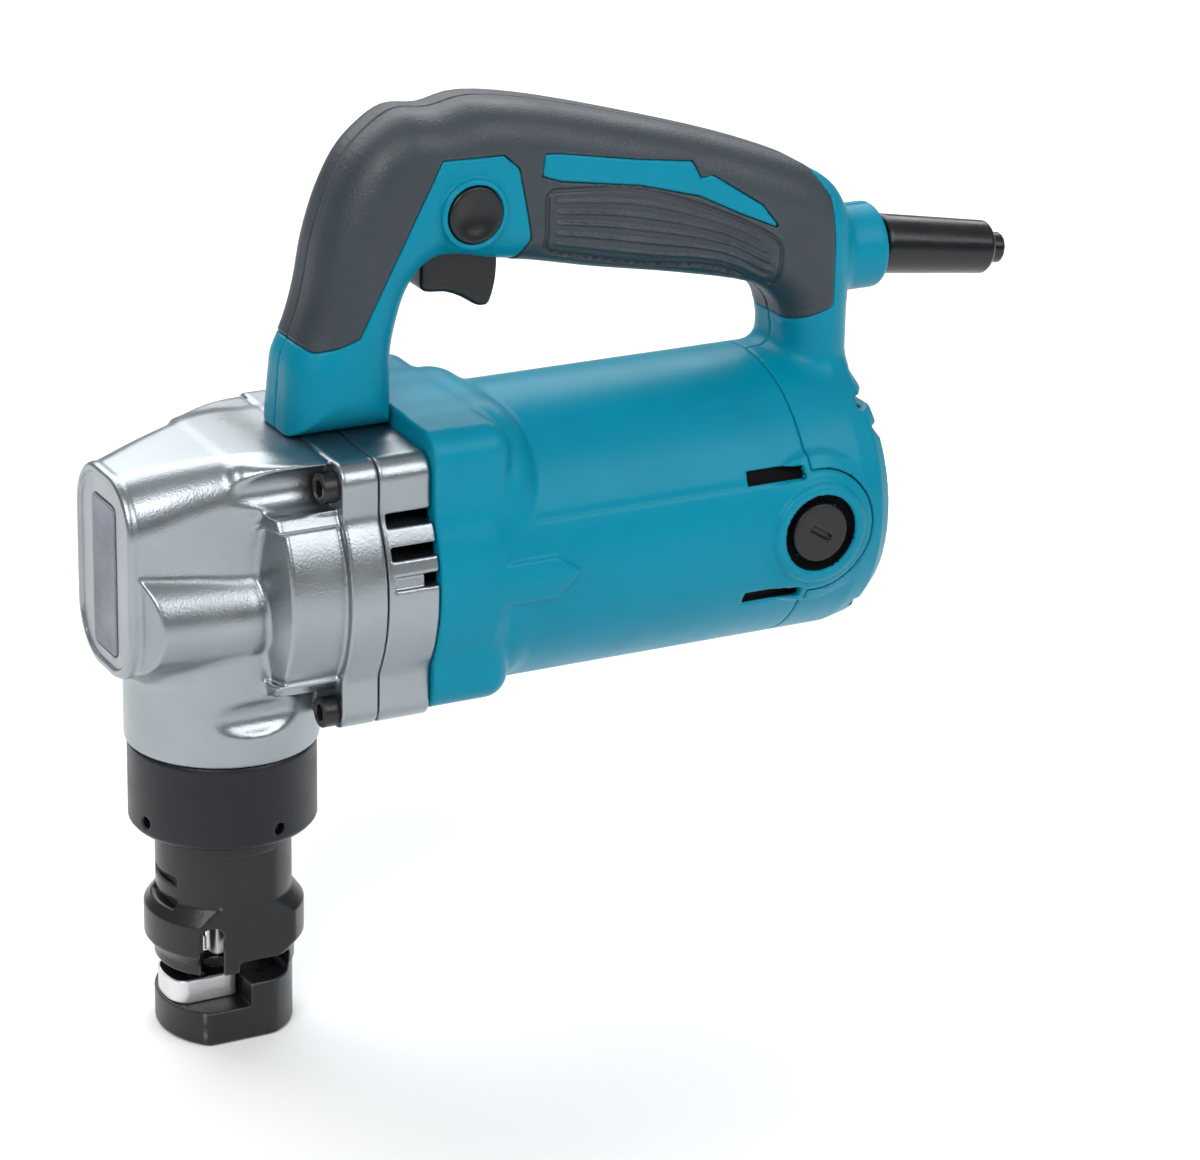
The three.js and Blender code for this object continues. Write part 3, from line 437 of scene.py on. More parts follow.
def motor_hollow(x, y, z):
    r = np.hypot(y, z - MOTOR_Z)
    around = np.hypot(x - BRUSH_X, z - MOTOR_Z)
    holder = overlap(0, slab(x, BRUSH_X - 6.05, BRUSH_X + 6.05), slab(z, MOTOR_Z - 7.05, MOTOR_Z + 7.05),
                     slab(y, -41.5, 41.5))
    recess = overlap(0, around - 11.4, 40.2 - np.abs(y))
    screws = overlap(0, screw_line(y, z) - 2.6, x - 58)
    boss = overlap(0, r - 14.5, 177 - x)
    bearing = overlap(0, r - 11.05, x - 186.5)
    bore = overlap(0, r - BORE_R, x - 187, -overlap(0, boss, -bearing))
    return union(0, bore, holder, recess, blind_slots(x, y, z), screws)


def motor_region(x, y, z):
    """Below zero where the outside belongs to the motor housing and not to the rear cover."""
    around = np.hypot(x - BRUSH_X, z - MOTOR_Z)
    return np.minimum(x - SEAM_X, np.maximum(around - 18, 32 - np.abs(y)))


def motor_housing(x, y, z):
    front = np.maximum(motor_outside(x, y, z), COVER_X + 0.1 - x)
    body = overlap(0.7, front, motor_region(x, y, z) + 0.1)
    return minus(0.35, body, motor_hollow(x, y, z))


# ---------------------------------------------------------------- handle and soft grips
CROWN = spline([
    (16.4, FLANGE_TOP), (17.4, 188), (18.2, 195), (21.8, 203), (24.8, 213), (27.3, 226), (31.4, 238.5),
    (37, 249), (44, 256), (52, 260.3), (62, CROWN_Z), (75, 261.6), (99, 257.2), (139, 246), (165, 237),
    (181, 229.5), (188, 222), (191.2, 211), (190.5, 190)])
LOOP = spline([
    (171, 184), (168.6, 193), (159, 200.3), (135, 206), (110, 210.8), (90, 215.2), (78, 217), (62, 219.5),
    (53.5, 213), (49.2, 201), (47.7, 190), (47.5, FLANGE_TOP)])
HANDLE_SIDE = CROWN + [(REAR_X, 160), (171, 160)] + LOOP
HOLLOW_SIDE = spline([
    (24, 183), (25, 197), (34.5, 227), (43, 245.5), (54, 254), (70, 256), (99, 251.4), (139, 240),
    (168, 229), (182, 218), (184.5, 196)], 3) + spline([
        (177, 196), (160, 207.5), (135, 213), (97, 221), (80, 224), (60, 226), (47, 214), (42, 199),
        (41, 183)], 3)
GRIP_SIDE = [
    (0, 196), (17.5, 201.5), (23, 198.2), (29.4, 199.6), (35.3, 201.6), (45.6, 221.4), (56.5, 242.5),
    (59.5, 248.6), (77.5, 248.4), (82, 244.3), (84.2, 234), (86, 224), (82, 214), (78, 200), (120, 180),
    (150, 184), (151.5, 196), (153.3, 192.2), (158, 188.6), (166, 186.2), (175, 190), (181.5, 193),
    (181.5, 209.5), (180.8, 224), (177, 231), (176, 250), (120, 290), (0, 290)]
STRIPE_SIDE = [
    (89.3, 241.6), (90, 247.2), (94.3, 246.8), (118.9, 242.3), (135.5, 239.8), (137.9, 234.8),
    (141.6, 235.4), (149.1, 230.5), (157.2, 225.2), (162.3, 218.8), (150.9, 223.9), (138, 230.4),
    (119.1, 235.7), (94.4, 239.7)]
PANEL_TOP = ([89, 94.5, 119.2, 138.1, 159.1, 166], [237.2, 236.9, 234, 227.5, 217.1, 212.5])
PANEL_LOW = ([89, 119.7, 151.5, 158.1, 166], [220, 212.4, 205.5, 201.7, 199])
SCREW_PLACES = [(33, 190), (92, 234), (160, 222), (181, 183)]
HANDLE_WALL = 4.0                               # least wall, with its grip, round the hollow
VENT_LOW = 106
VENT_STEP = 7.5


def handle_half_width(x, z):
    """Half width of the loop, a little more where its front leg stands on the gear case."""
    along = curve(x, [20, 50, 90, 140, 168, 185], [15.2, 15.4, 16.6, 16.6, 17.6, 17.6])
    base = curve(z, [FLANGE_TOP, 184, 196], [1.3, 0.9, 0])
    return along + np.where(x < 100, base, 0)


def handle_loop(x, y, z):
    return rounded(polygon(x, z, HANDLE_SIDE), np.abs(y) - handle_half_width(x, z), 11.5)


def handle_outside(x, y, z):
    loop = np.maximum(handle_loop(x, y, z), FLANGE_TOP + 0.25 - z)
    rear = np.maximum(motor_outside(x, y, z), -motor_region(x, y, z) + 0.1)
    boss = rounded(np.hypot(y, z - CORD_Z) - 12.5, slab(x, 180, CORD_BEND_X), 2)
    return union(2.5, union(5, loop, rear), boss)


def grip_area(x, y, z):
    area = polygon(x, z, GRIP_SIDE)
    stripe = np.maximum(polygon(x, z, STRIPE_SIDE) - 0.3, 12 - np.abs(y))
    return minus(0.8, area, stripe)


def grip_ribs(x, y, z):
    """Height of the fine ribs along the palm panel on each side of the grip."""
    top, low = curve(x, *PANEL_TOP), curve(x, *PANEL_LOW)
    part = (z - low) / (top - low)
    wave = (0.5 + 0.5 * np.cos(2 * math.pi * 6 * part)) ** 4
    inside = np.clip(5 * part, 0, 1) * np.clip(5 * (1 - part), 0, 1)
    ends = np.clip((x - 92) / 2, 0, 1) * np.clip((162 - x) / 3, 0, 1)
    side = np.clip((np.abs(y) - 11) / 3, 0, 1)
    return 0.95 * wave * inside * ends * side


def panel_groove(x, y, z):
    top, low = curve(x, *PANEL_TOP), curve(x, *PANEL_LOW)
    outline = rounded(slab(x, 90.5, 164), slab(z, low, top), 2.5)
    return np.maximum(np.abs(outline) - 0.6, 12 - np.abs(y))


def screw_paths(x, y, z):
    """Holes of the handle screws, counterbored from the right side."""
    paths = np.full(np.broadcast(x, y, z).shape, 1e3)
    for place_x, place_z in SCREW_PLACES:
        r = np.hypot(x - place_x, z - place_z)
        shank = overlap(0, r - 2.05, slab(y, -12, 18))
        head_room = overlap(0, r - 3.9, slab(y, 10.4, 30))
        paths = np.minimum(paths, np.minimum(shank, head_room))
    return paths


def rear_vents(x, y, z):
    """Level slots through the back of the rear cover."""
    row = np.clip(np.round((z - VENT_LOW) / VENT_STEP), 0, 8)
    return overlap(0, np.abs(z - VENT_LOW - VENT_STEP * row) - 1.6, 184.5 - x, np.abs(y) - 31)


def handle_hollow(x, y, z):
    room = overlap(0, polygon(x, z, HOLLOW_SIDE), slab(y, -12, 12), handle_loop(x, y, z) + HANDLE_WALL)
    for place_x, place_z in SCREW_PLACES:
        room = np.maximum(room, 4.6 - np.hypot(x - place_x, z - place_z))
    well = overlap(0, slab(x, 56.4, 80.8), slab(y, -8.1, 8.1), slab(z, 200, 233.6))
    entry = overlap(0, np.hypot(y, z - CORD_Z) - 8.55, 177 - x)
    button = overlap(0, np.hypot(x - BUTTON_X, z - BUTTON_Z) - 8.3, slab(y, -24, -8))
    around = np.hypot(x - BRUSH_X, z - MOTOR_Z)
    clear = np.maximum(around - 18.25, 30 - np.abs(y))
    return union(0, room, well, entry, button, motor_hollow(x, y, z), clear, rear_vents(x, y, z),
                 screw_paths(x, y, z))


def handle_shell(x, y, z):
    outside = handle_outside(x, y, z)
    collar = rounded(np.hypot(x - BUTTON_X, z - BUTTON_Z) - 9.9, slab(y, -17.6, -10), 0.8)
    body = union(0.8, outside, collar)
    pocket = np.maximum(grip_area(x, y, z), -(outside + 2.3))
    body = minus(0.5, body, pocket)
    return minus(0.35, body, handle_hollow(x, y, z))


def grip_shell(x, y, z):
    outside = handle_outside(x, y, z)
    skin = overlap(0.6, outside - 0.25 - grip_ribs(x, y, z), -(outside + 2.15))
    body = overlap(0.8, skin, grip_area(x, y, z) + 0.12)
    groove = np.maximum(panel_groove(x, y, z), -(outside + 0.55))
    return minus(0.4, body, groove, screw_paths(x, y, z))


def left_of_seam(field):
    return lambda x, y, z: overlap(0.6, field(x, y, z), y + 0.06)


def right_of_seam(field):
    return lambda x, y, z: overlap(0.6, field(x, y, z), 0.06 - y)


# ---------------------------------------------------------------- cutting head
def lock_nut(x, y, z):
    r = np.hypot(x, y)
    body = turned(r, z, [
        (0, NUT_LOW), (25.4, NUT_LOW), (NUT_R, NUT_LOW + 1.2), (NUT_R, NUT_TOP - 1), (25.8, NUT_TOP),
        (0, NUT_TOP)])
    bore = np.minimum(r - NECK_R - 0.3, np.maximum(r - 21.9, 70 - z))
    angle = np.arctan2(y, x) - SPANNER_HOLE
    turn = math.pi / 2
    angle = angle - turn * np.round(angle / turn)
    holes = np.maximum(np.hypot(r * np.sin(angle), z - 67) - 1.7, 23.5 - r)
    return minus(0.4, overlap(0.4, body, -bore), holes)


def foot(x, y, z):
    rear = np.maximum(np.hypot(x, y) - NECK_R, -4 - x)
    front = np.maximum(np.hypot(x - 3.4, y) - 23, x)
    outline = union(0.5, rear, front)
    return rounded(overlap(0.8, outline, np.abs(y) - FLAT_Y), slab(z, 0, 20), 0.9)


def die_holder(x, y, z):
    r = np.hypot(x, y)
    block = turned(r, z, [
        (0, 19.5), (19.6, 19.5), (19.8, 24), (22.5, 27.8), (22.5, 37), (NECK_R, 41.6), (NECK_R, 65.6),
        (21.3, 65.6), (21.3, 68.6), (0, 68.6)])
    flats = np.maximum(rect(x, z, -30, 30, -30, 57, 14), FLAT_Y - np.abs(y))
    body = union(1.2, minus(0.6, block, flats), foot(x, y, z))
    sheet_path = rect(x, z, -40, 13.8, DIE_TOP, 21, 1.5)
    back_recess = rect(x, z, -2.5, 13.8, DIE_TOP, 24, 1.5)
    turn = math.radians(26)
    along = x * math.cos(turn) + np.abs(y) * math.sin(turn)
    across = np.abs(y) * math.cos(turn) - x * math.sin(turn)
    window = union(0.3, rect(along, z, -5.5, 0.9, DIE_TOP, 33, 0.3), np.hypot(along + 2.3, z - 33) - 3.2)
    window = np.maximum(window, -across)
    gauges = overlap(0, np.minimum(slab(z, 40, 42.4), slab(z, 46.8, 49.2)), np.abs(y) - 8, x + 17)
    seat = overlap(0, x - 0.8, slab(z, DIE_LOW, DIE_TOP + 1))
    tip_bore = overlap(0, np.hypot(x - TIP_X, y) - 5.6, z - 30)
    bores = np.minimum(overlap(0, r - 5.05, slab(z, 18, 60)), overlap(0, r - 9.65, 44 - z))
    screws = overlap(0, np.hypot(x - DIE_SCREW_X, np.abs(y) - DIE_SCREW_Y) - 1.55, slab(z, 2, 12))
    return minus(0.5, body, sheet_path, back_recess, window, gauges, seat, tip_bore, bores, screws)


def die(x, y, z):
    outline = overlap(3, np.hypot(x, y) - DIE_FRONT, rect(x, y, -20.2, 10, -DIE_HALF, DIE_HALF, 6), x - 0.7)
    body = rounded(outline, slab(z, DIE_LOW, DIE_TOP), 0.35)
    hole = np.hypot(x - TIP_X, y) - 3.45
    screw = np.hypot(x - DIE_SCREW_X, np.abs(y) - DIE_SCREW_Y)
    screws = np.minimum(screw - 1.5, np.maximum(screw - 2.4, DIE_TOP - 3 - z))
    return minus(0.25, body, hole, screws)


def die_top_painted_shade(x, y, z):
    """Flat of the die's top, inside its ground rim, given painted shade for the shadow under the die
    holder's upper block.
    """
    rim = overlap(3, np.hypot(x, y) - DIE_FRONT, np.abs(y) - DIE_HALF) + 0.8
    return np.maximum(rim, DIE_TOP - 0.12 - z)


def punch(x, y, z):
    r = np.hypot(x, y)
    shank = turned(r, z, [(0, 33), (4.2, 33), (5, 34.2), (5, 57), (5.5, 57.6), (5.5, 70), (0, 70)])
    tip = overlap(0.4, np.hypot(x - TIP_X, y) - 3.4, slab(z, 20.7, 36), r - 5)
    notch = np.maximum(slab(y, -1, 1), np.maximum(z - 27, x - TIP_X + 2.4))
    return minus(0.3, union(0.4, shank, tip), notch)


# ---------------------------------------------------------------- small outside pieces
def hexagon(u, v, flat):
    return np.maximum(np.abs(u), np.abs(u) / 2 + np.abs(v) * math.sqrt(3) / 2) - flat


def cap_screw(u, v, along, head_r, shank_r, head_length, length):
    """Socket-headed screw along `along`, its head from 0 to head_length."""
    r = np.hypot(u, v)
    head_part = rounded(r - head_r, slab(along, 0, head_length), 0.5)
    shank = rounded(r - shank_r, slab(along, 0.5, length), 0.3)
    socket = np.maximum(hexagon(u, v, head_r * 0.52), along - head_length * 0.6)
    return minus(0.2, union(0.2, head_part, shank), socket)


def flange_screw(number):
    centre = middle(f"flange_screw_{number}")
    start = edges(f"flange_screw_{number}")[0][0]
    return lambda x, y, z: cap_screw(y - centre[1], z - centre[2], x - start, 4.3, 2.4, SCREW_HEAD, 41.8)


def handle_screw(number):
    centre = middle(f"handle_screw_{number}")
    start = edges(f"handle_screw_{number}")[1][1]
    return lambda x, y, z: cap_screw(x - centre[0], z - centre[2], start - y, 3.5, 1.85, 2.4, 23.8)


def die_screw(number):
    centre = middle(f"die_screw_{number}")
    start = edges(f"die_screw_{number}")[1][2]
    return lambda x, y, z: cap_screw(x - centre[0], y - centre[1], start - z, 2.25, 1.4, 2.5, 10.9)


def front_plate(x, y, z):
    return rounded(rect(y, z, -8, 8, 118, 161, 2), slab(x, FRONT_X + 0.1, FRONT_X + 1.2), 0.3)


def brush_cap(x, y, z):
    """Round cap with a short coin slot, turned to a slant."""
    u, w = x - BRUSH_X, z - MOTOR_Z
    r = np.hypot(u, w)
    face = rounded(r - 8.6, slab(np.abs(y), 41.25, 43.3), 0.6)
    stem = rounded(r - 5.8, slab(np.abs(y), 37.9, 42), 0.4)
    turn = math.radians(32)
    slot = rect(u * math.cos(turn) - w * math.sin(turn), u * math.sin(turn) + w * math.cos(turn),
                -3.9, 3.9, -0.9, 0.9, 0.85)
    return minus(0.3, union(0.2, face, stem), np.maximum(slot, 42.1 - np.abs(y)))


def trigger(x, y, z):
    side = spline([(57.2, 226), (57.2, 214), (57.4, 210.5), (60, 209.3), (64.5, 208.9), (69.5, 206.8),
                   (73.5, 204.2), (76, 203.5), (78, 204.4), (79.6, 209.5), (80.2, 215), (80.2, 226)], 2)
    return rounded(polygon(x, z, side), np.abs(y) - 7.5, 1.6)


def trigger_spring(x, y, z):
    """Open coil over the trigger, its ends ground flat."""
    low, high = edges("trigger_spring")
    wire, turns = 0.5, 3
    radius = (high[1] - low[1]) / 2 - wire
    rise = (high[2] - low[2] - 2 * wire) / turns
    across = x - middle("trigger_spring")[0]
    climb = z - low[2] - wire - rise * np.arctan2(y, across) / (2 * math.pi)
    coil = np.hypot(np.hypot(across, y) - radius, climb - rise * np.round(climb / rise)) - wire
    return np.maximum(coil, slab(z, low[2], high[2]))


def lock_button(x, y, z):
    disc = rounded(np.hypot(x - BUTTON_X, z - BUTTON_Z) - 7.95, slab(y, -18, -12.6), 0.7)
    dish = np.sqrt((x - BUTTON_X) ** 2 + (y + 30.6) ** 2 + (z - BUTTON_Z) ** 2) - 14
    return minus(0.6, disc, dish)


def cord_frame(x, z):
    """Distance along the drooping run from its bend, and height above its centre line."""
    dx, dz = x - CORD_BEND_X, z - CORD_Z
    return (dx * math.cos(DROOP) - dz * math.sin(DROOP), dx * math.sin(DROOP) + dz * math.cos(DROOP))


def cord_bar(x, y, z, r, start, drop):
    along, rise = cord_frame(x, z)
    straight = np.maximum(np.hypot(y, z - CORD_Z) - r, slab(x, start, CORD_BEND_X))
    knee = np.sqrt((x - CORD_BEND_X) ** 2 + y ** 2 + (z - CORD_Z) ** 2) - r
    hanging = rounded(np.hypot(y, rise) - r, slab(along, 0, drop), 0.4)
    return np.minimum(np.minimum(straight, knee), hanging)


def cord(x, y, z):
    return cord_bar(x, y, z, CORD_R, 176, CORD_LENGTH)


def cord_guard(x, y, z):
    along, rise = cord_frame(x, z)
    r = np.hypot(y, rise)
    cone = turned(r, along, [
        (0, 1.7), (8.4, 1.7), (8.7, 2.4), (7.8, GUARD_LENGTH - 1), (7, GUARD_LENGTH), (0, GUARD_LENGTH)])
    plug = rounded(np.hypot(y, z - CORD_Z) - 8.4, slab(x, 185, 204), 0.4)
    inside = cord_bar(x, y, z, CORD_R + 0.2, 180, CORD_LENGTH)
    return minus(0.5, union(1, cone, plug), inside)


# ---------------------------------------------------------------- materials
def noise(tree, scale, detail=2.0, roughness=0.5, stretch=None):
    """Noise in object coordinates, `scale` features per metre, optionally stretched along axes."""
    coords = tree.nodes.new("ShaderNodeTexCoord")
    source = coords.outputs["Object"]
    if stretch:
        mapping = tree.nodes.new("ShaderNodeMapping")
        mapping.inputs["Scale"].default_value = stretch
        tree.links.new(source, mapping.inputs["Vector"])
        source = mapping.outputs["Vector"]
    texture = tree.nodes.new("ShaderNodeTexNoise")
    texture.inputs["Scale"].default_value = scale
    texture.inputs["Detail"].default_value = detail
    texture.inputs["Roughness"].default_value = roughness
    tree.links.new(source, texture.inputs["Vector"])
    return texture.outputs["Fac"]


def spread(tree, source, low, high, from_low=0.3, from_high=0.7):
    ramp = tree.nodes.new("ShaderNodeMapRange")
    ramp.inputs["From Min"].default_value = from_low
    ramp.inputs["From Max"].default_value = from_high
    ramp.inputs["To Min"].default_value = low
    ramp.inputs["To Max"].default_value = high
    tree.links.new(source, ramp.inputs["Value"])
    return ramp.outputs["Result"]


def blended(tree, factor, colour_a, colour_b):
    mix = tree.nodes.new("ShaderNodeMix")
    mix.data_type = "RGBA"
    tree.links.new(factor, mix.inputs["Factor"])
    for socket, colour in ((mix.inputs["A"], colour_a), (mix.inputs["B"], colour_b)):
        if isinstance(colour, bpy.types.NodeSocket):
            tree.links.new(colour, socket)
        else:
            socket.default_value = (*colour, 1)
    return mix.outputs["Result"]


def shaded(colour, factor):
    return tuple(min(1.0, channel * factor) for channel in colour)


def finish(name, colour, rough, metal=0.0, mottle=0.06, rough_spread=0.05, grain=0.0, grain_scale=900.0,
           stretch=None, wear_and_sheen_colour=None, wear_and_sheen_amount=0.5, gloss=0.5, sharp=0.52):
    """Procedural finish: cloudy colour and gloss, surface grain, and paler or duller sharp edges: rubbed
    edges, and painted highlight on rib crests.
    """
    material = bpy.data.materials.new(name)
    material.use_nodes = True
    tree = material.node_tree
    shader = tree.nodes["Principled BSDF"]
    cloud = spread(tree, noise(tree, 38, 4), 0, 1)
    tint = blended(tree, cloud, shaded(colour, 1 - mottle), shaded(colour, 1 + mottle))
    # paler edge colour by pointiness: rubbed edges, and painted highlight where it lights rib crests
    if wear_and_sheen_colour:
        geometry = tree.nodes.new("ShaderNodeNewGeometry")
        edge = spread(tree, geometry.outputs["Pointiness"], 0, wear_and_sheen_amount, sharp, sharp + 0.1)
        patchy = spread(tree, noise(tree, 260, 3), 0, 1, 0.35, 0.65)
        product = tree.nodes.new("ShaderNodeMath")
        product.operation = "MULTIPLY"
        tree.links.new(edge, product.inputs[0])
        tree.links.new(patchy, product.inputs[1])
        tint = blended(tree, product.outputs["Value"], tint, wear_and_sheen_colour)
    tree.links.new(tint, shader.inputs["Base Color"])
    smudge = noise(tree, 70, 5, 0.6)
    roughness = spread(tree, smudge, rough - rough_spread, rough + rough_spread)
    tree.links.new(roughness, shader.inputs["Roughness"])
    shader.inputs["Metallic"].default_value = metal
    shader.inputs["Specular IOR Level"].default_value = gloss
    if grain > 0:
        bump = tree.nodes.new("ShaderNodeBump")
        bump.inputs["Strength"].default_value = grain
        bump.inputs["Distance"].default_value = 0.0002
        tree.links.new(noise(tree, grain_scale, 2, 0.5, stretch), bump.inputs["Height"])
        tree.links.new(bump.outputs["Normal"], shader.inputs["Normal"])
    return material


FINISHES = {
    "alloy": finish("cast_alloy", (0.32, 0.35, 0.37), 0.32, 1.0, 0.05, 0.05, 0.3, 1500,
                    wear_and_sheen_colour=(0.6, 0.62, 0.63), wear_and_sheen_amount=0.3, sharp=0.56),
    "plate": finish("label_plate", (0.2, 0.21, 0.25), 0.45, 0.8, 0.25, 0.1, 0.9, 700,
                    wear_and_sheen_colour=(0.3, 0.3, 0.32)),
    "plastic": finish("teal_plastic", (0.0, 0.21, 0.315), 0.36, 0.0, 0.05, 0.04, 0.25, 1600,
                      wear_and_sheen_colour=(0.03, 0.28, 0.36), wear_and_sheen_amount=0.35, gloss=0.14),
    # painted highlight together with rubbed edges: the pale edge colour lights the crests of the grip's
    # ribs
    "rubber": finish("grip_rubber", (0.02, 0.03, 0.04), 0.48, 0.0, 0.1, 0.06, 0.7, 1300,
                     wear_and_sheen_colour=(0.08, 0.1, 0.115), wear_and_sheen_amount=0.6, gloss=0.55),
    "black_plastic": finish("black_plastic", (0.006, 0.0065, 0.008), 0.36, 0.0, 0.1, 0.06, 0.35, 1500,
                            wear_and_sheen_colour=(0.05, 0.05, 0.055), gloss=0.4),
    "cord_rubber": finish("cord_rubber", (0.006, 0.007, 0.009), 0.22, 0.0, 0.1, 0.05, 0.15, 900,
                          wear_and_sheen_colour=(0.04, 0.04, 0.045), gloss=0.4),
    "black_steel": finish("black_oxide", (0.008, 0.0095, 0.012), 0.33, 0.15, 0.12, 0.08, 0.35, 1100,
                          wear_and_sheen_colour=(0.2, 0.2, 0.21), wear_and_sheen_amount=0.6, gloss=0.5),
    "bright_steel": finish("ground_steel", (0.72, 0.73, 0.74), 0.3, 0.8, 0.06, 0.06, 0.3, 500,
                           (1, 1, 9), wear_and_sheen_colour=(0.8, 0.8, 0.8)),
    "gear_steel": finish("gear_steel", (0.4, 0.41, 0.42), 0.33, 1.0, 0.08, 0.06, 0.2, 900,
                         wear_and_sheen_colour=(0.6, 0.6, 0.6)),
    "core_steel": finish("core_steel", (0.22, 0.23, 0.24), 0.45, 0.9, 0.1, 0.06, 0.4, 600, (12, 1, 1),
                         wear_and_sheen_colour=(0.4, 0.4, 0.4)),
    "copper": finish("copper", (0.6, 0.27, 0.12), 0.33, 1.0, 0.1, 0.06, 0.2, 800, wear_and_sheen_colour=(0.75, 0.45, 0.25)),
    "carbon": finish("carbon", (0.02, 0.02, 0.021), 0.75, 0.0, 0.15, 0.05, 0.4, 1400,
                     wear_and_sheen_colour=(0.05, 0.05, 0.05)),
    "brass": finish("brass", (0.55, 0.4, 0.16), 0.33, 1.0, 0.08, 0.06, 0.2, 900, wear_and_sheen_colour=(0.7, 0.55, 0.3)),
    "felt": finish("felt", (0.17, 0.15, 0.135), 0.95, 0.0, 0.15, 0.03, 1.0, 2200, wear_and_sheen_colour=(0.25, 0.23, 0.2)),
    "nut": finish("nut_finish", (0.002, 0.004, 0.008), 0.4, 0.05, 0.1, 0.06, 0.3, 1000,
                  wear_and_sheen_colour=(0.12, 0.14, 0.16), wear_and_sheen_amount=0.6, gloss=0.4),
    # painted shade: near-black colour for faces that lie in the shadow of a slot, gap or overhang
    "shade": finish("slot_shade", (0.004, 0.004, 0.005), 0.8, 0.0, 0.1, 0.05, 0.2, 900,
                    wear_and_sheen_colour=(0.01, 0.01, 0.012), gloss=0.1),
}

record = frame["record"]
BODY_OF = {node: body for body, nodes in record["behaviour"]["bodies"].items() for node in nodes}
SLOT_OF = {entry["node"]: entry["material_slot"] for entry in record["subparts"]}

for node, obj in frame["nodes"].items():
    obj.data.materials.clear()
    obj.data.materials.append(FINISHES[SLOT_OF[node]])


# ---------------------------------------------------------------- laying the pieces over the frame
def shade_faces(obj, region):
    """Paints shade on the faces inside a region: the near-black slot_shade colour stands for the shadow in
    a deep slot or gap.
    """
    mesh = obj.data
    mesh.materials.append(FINISHES["shade"])
    centres = np.empty(len(mesh.polygons) * 3)
    mesh.polygons.foreach_get("center", centres)
    x, y, z = (centres.reshape(-1, 3) / MM - SHIFT).T
    mesh.polygons.foreach_set("material_index", (region(x, y, z) < 0).astype(np.int32))


def piece(node, field, step, margin=2.5, look=None, painted_shade=None):
    """Meshes the finished shape of a CAD node and puts it in that node's place, with painted shade on the
    faces inside an optional region.
    """
    low, high = edges(node)
    obj = mesh_field(f"{node}_finished", field, low - margin, high + margin, step)
    obj.data.materials.append(FINISHES[look or SLOT_OF[node]])
    if painted_shade:
        shade_faces(obj, painted_shade)
    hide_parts(node)
    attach(obj, BODY_OF[node])
    return obj


COARSE = 1.0
piece("gear_housing", gear_housing, 0.66 * COARSE)
piece("gear_cover", gear_cover, 0.62 * COARSE)
piece("front_plate", front_plate, 0.3 * COARSE)
# painted shade: near-black colour on the walls of the blind slots and of the gap round each brush cap
piece("motor_housing", motor_housing, 0.85 * COARSE, painted_shade=slot_painted_shade)
piece("handle_left", left_of_seam(handle_shell), 0.75 * COARSE)
piece("handle_right", right_of_seam(handle_shell), 0.75 * COARSE)
piece("grip_left", left_of_seam(grip_shell), 0.62 * COARSE)
piece("grip_right", right_of_seam(grip_shell), 0.62 * COARSE)
piece("lock_nut", lock_nut, 0.55 * COARSE, look="nut")
piece("die_holder", die_holder, 0.44 * COARSE)
# painted shade: near-black colour on the die's top face, under the die holder's upper block
piece("die", die, 0.25 * COARSE, painted_shade=die_top_painted_shade)
piece("punch", punch, 0.3 * COARSE)
piece("trigger", trigger, 0.5 * COARSE)
spring = piece("trigger_spring", trigger_spring, 0.25, margin=0.5)
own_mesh(spring)
piece("lock_button", lock_button, 0.4 * COARSE)
piece("cord", cord, 0.5 * COARSE)
piece("cord_guard", cord_guard, 0.5 * COARSE)
for word in ("left", "right"):
    side = -1 if word == "left" else 1
    one_side = lambda x, y, z, side=side: np.maximum(brush_cap(x, y, z), -side * y)
    piece(f"brush_cap_{word}", one_side, 0.35 * COARSE)
for number in (1, 2, 3, 4):
    piece(f"flange_screw_{number}", flange_screw(number), 0.35 * COARSE)
    piece(f"handle_screw_{number}", handle_screw(number), 0.35 * COARSE)
for number in (1, 2):
    piece(f"die_screw_{number}", die_screw(number), 0.25 * COARSE)


# ---------------------------------------------------------------- floor, light and camera
def floor():
    bpy.ops.mesh.primitive_plane_add(size=12, location=(0, 0, cad_box[0][2] - 0.0002))
    plane = bpy.context.object
    plane.name = "studio_floor"
    material = bpy.data.materials.new("studio_floor")
    material.use_nodes = True
    shader = material.node_tree.nodes["Principled BSDF"]
    shader.inputs["Base Color"].default_value = (0.9, 0.9, 0.9, 1)
    shader.inputs["Roughness"].default_value = 0.9
    plane.data.materials.append(material)
    return plane


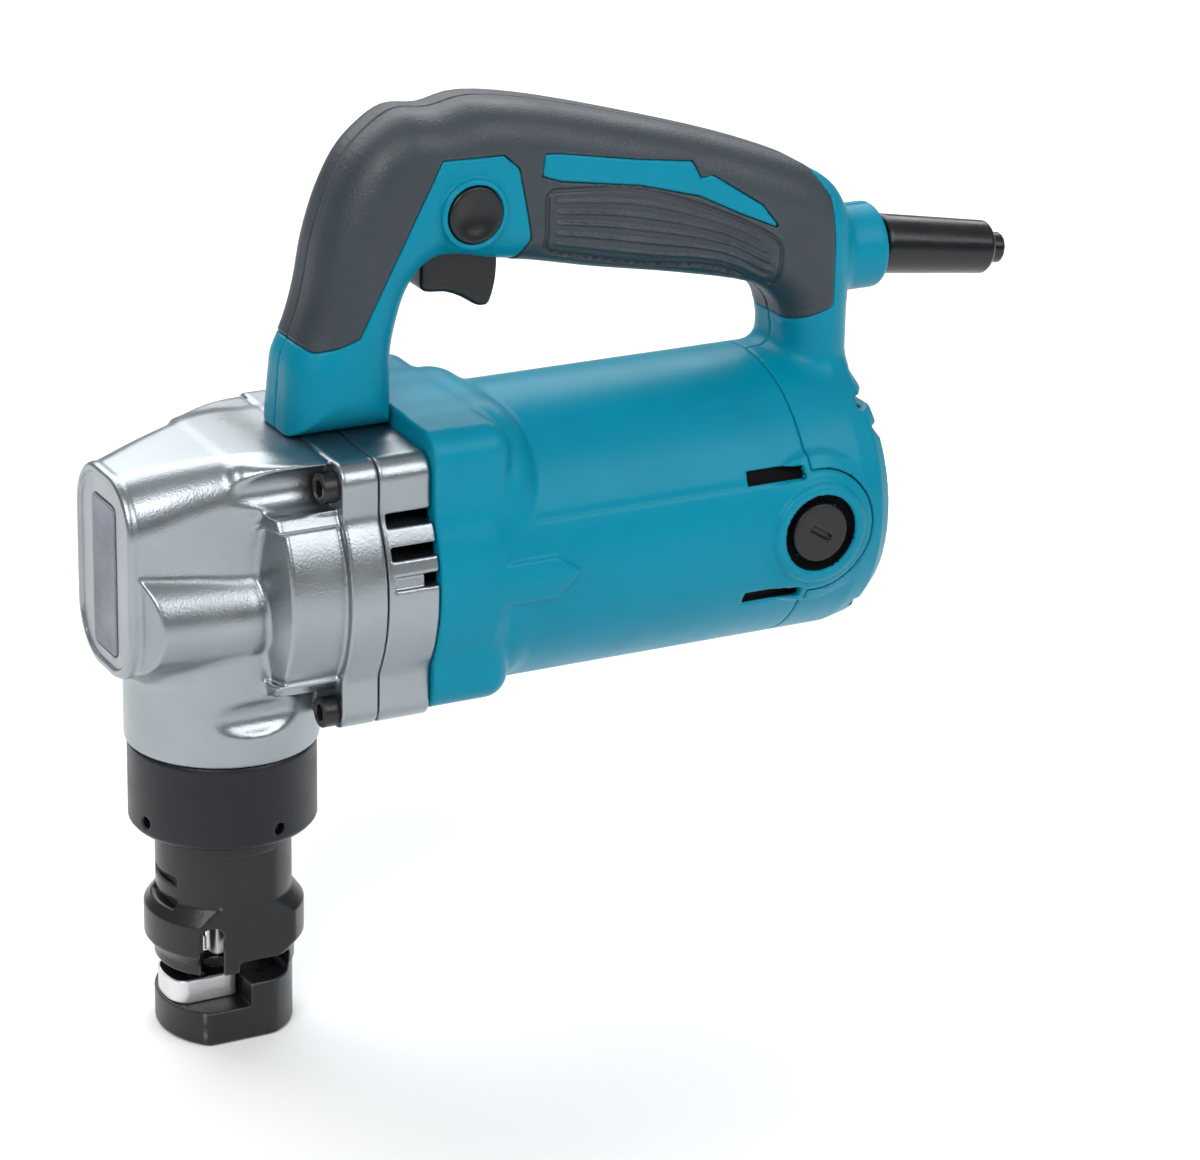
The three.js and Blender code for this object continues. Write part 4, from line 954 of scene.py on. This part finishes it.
def soft_box(name, place, target, size, power):
    data = bpy.data.lights.new(name, "AREA")
    data.shape = "RECTANGLE"
    data.size, data.size_y = size
    data.energy = power
    lamp = bpy.data.objects.new(name, data)
    lamp.location = place
    direction = Vector(target) - Vector(place)
    lamp.rotation_euler = direction.to_track_quat("-Z", "Y").to_euler()
    lamp.visible_camera = False
    bpy.context.scene.collection.objects.link(lamp)
    return lamp


def sky(low, high):
    """World light that is dim at the horizon and bright overhead."""
    world = bpy.data.worlds.new("studio")
    world.use_nodes = True
    tree = world.node_tree
    background = tree.nodes["Background"]
    coords = tree.nodes.new("ShaderNodeTexCoord")
    split = tree.nodes.new("ShaderNodeSeparateXYZ")
    tree.links.new(coords.outputs["Generated"], split.inputs["Vector"])
    strength = spread(tree, split.outputs["Z"], low, high, 0.1, 0.9)
    tree.links.new(strength, background.inputs["Strength"])
    background.inputs["Color"].default_value = (0.96, 0.98, 1.0, 1)
    bpy.context.scene.world = world


def camera(place, heading, fall, roll, lens):
    """Camera looking `heading` degrees right of +Y and `fall` degrees down."""
    a, e, turn = (math.radians(value) for value in (heading, fall, roll))
    forward = Vector((math.sin(a) * math.cos(e), math.cos(a) * math.cos(e), -math.sin(e)))
    level = Vector((math.cos(a), -math.sin(a), 0))
    right = level * math.cos(turn) + level.cross(forward) * math.sin(turn)
    up = right.cross(forward)
    data = bpy.data.cameras.new("camera")
    data.lens = lens
    data.sensor_width = 36
    obj = bpy.data.objects.new("camera", data)
    rotation = Matrix((right, up, -forward)).transposed()
    obj.matrix_world = Matrix.Translation(place) @ rotation.to_4x4()
    bpy.context.scene.collection.objects.link(obj)
    bpy.context.scene.camera = obj


floor()
soft_box("back", (0.3, 1.1, 1.3), (0.12, 0.1, 0.08), (2.4, 1.4), 32)
soft_box("fill", (0.65, -0.95, 0.95), (0.06, 0, 0.13), (1.0, 0.7), 8)
soft_box("key", (-0.7, -0.75, 1.0), (0.05, 0, 0.14), (0.7, 0.6), 9.5)
sky(0.2, 0.5)
camera((-0.4533, -1.0656, 0.5828), 27.7, 21.3, 1.2, 135)
bpy.context.scene.view_settings.view_transform = "Standard"
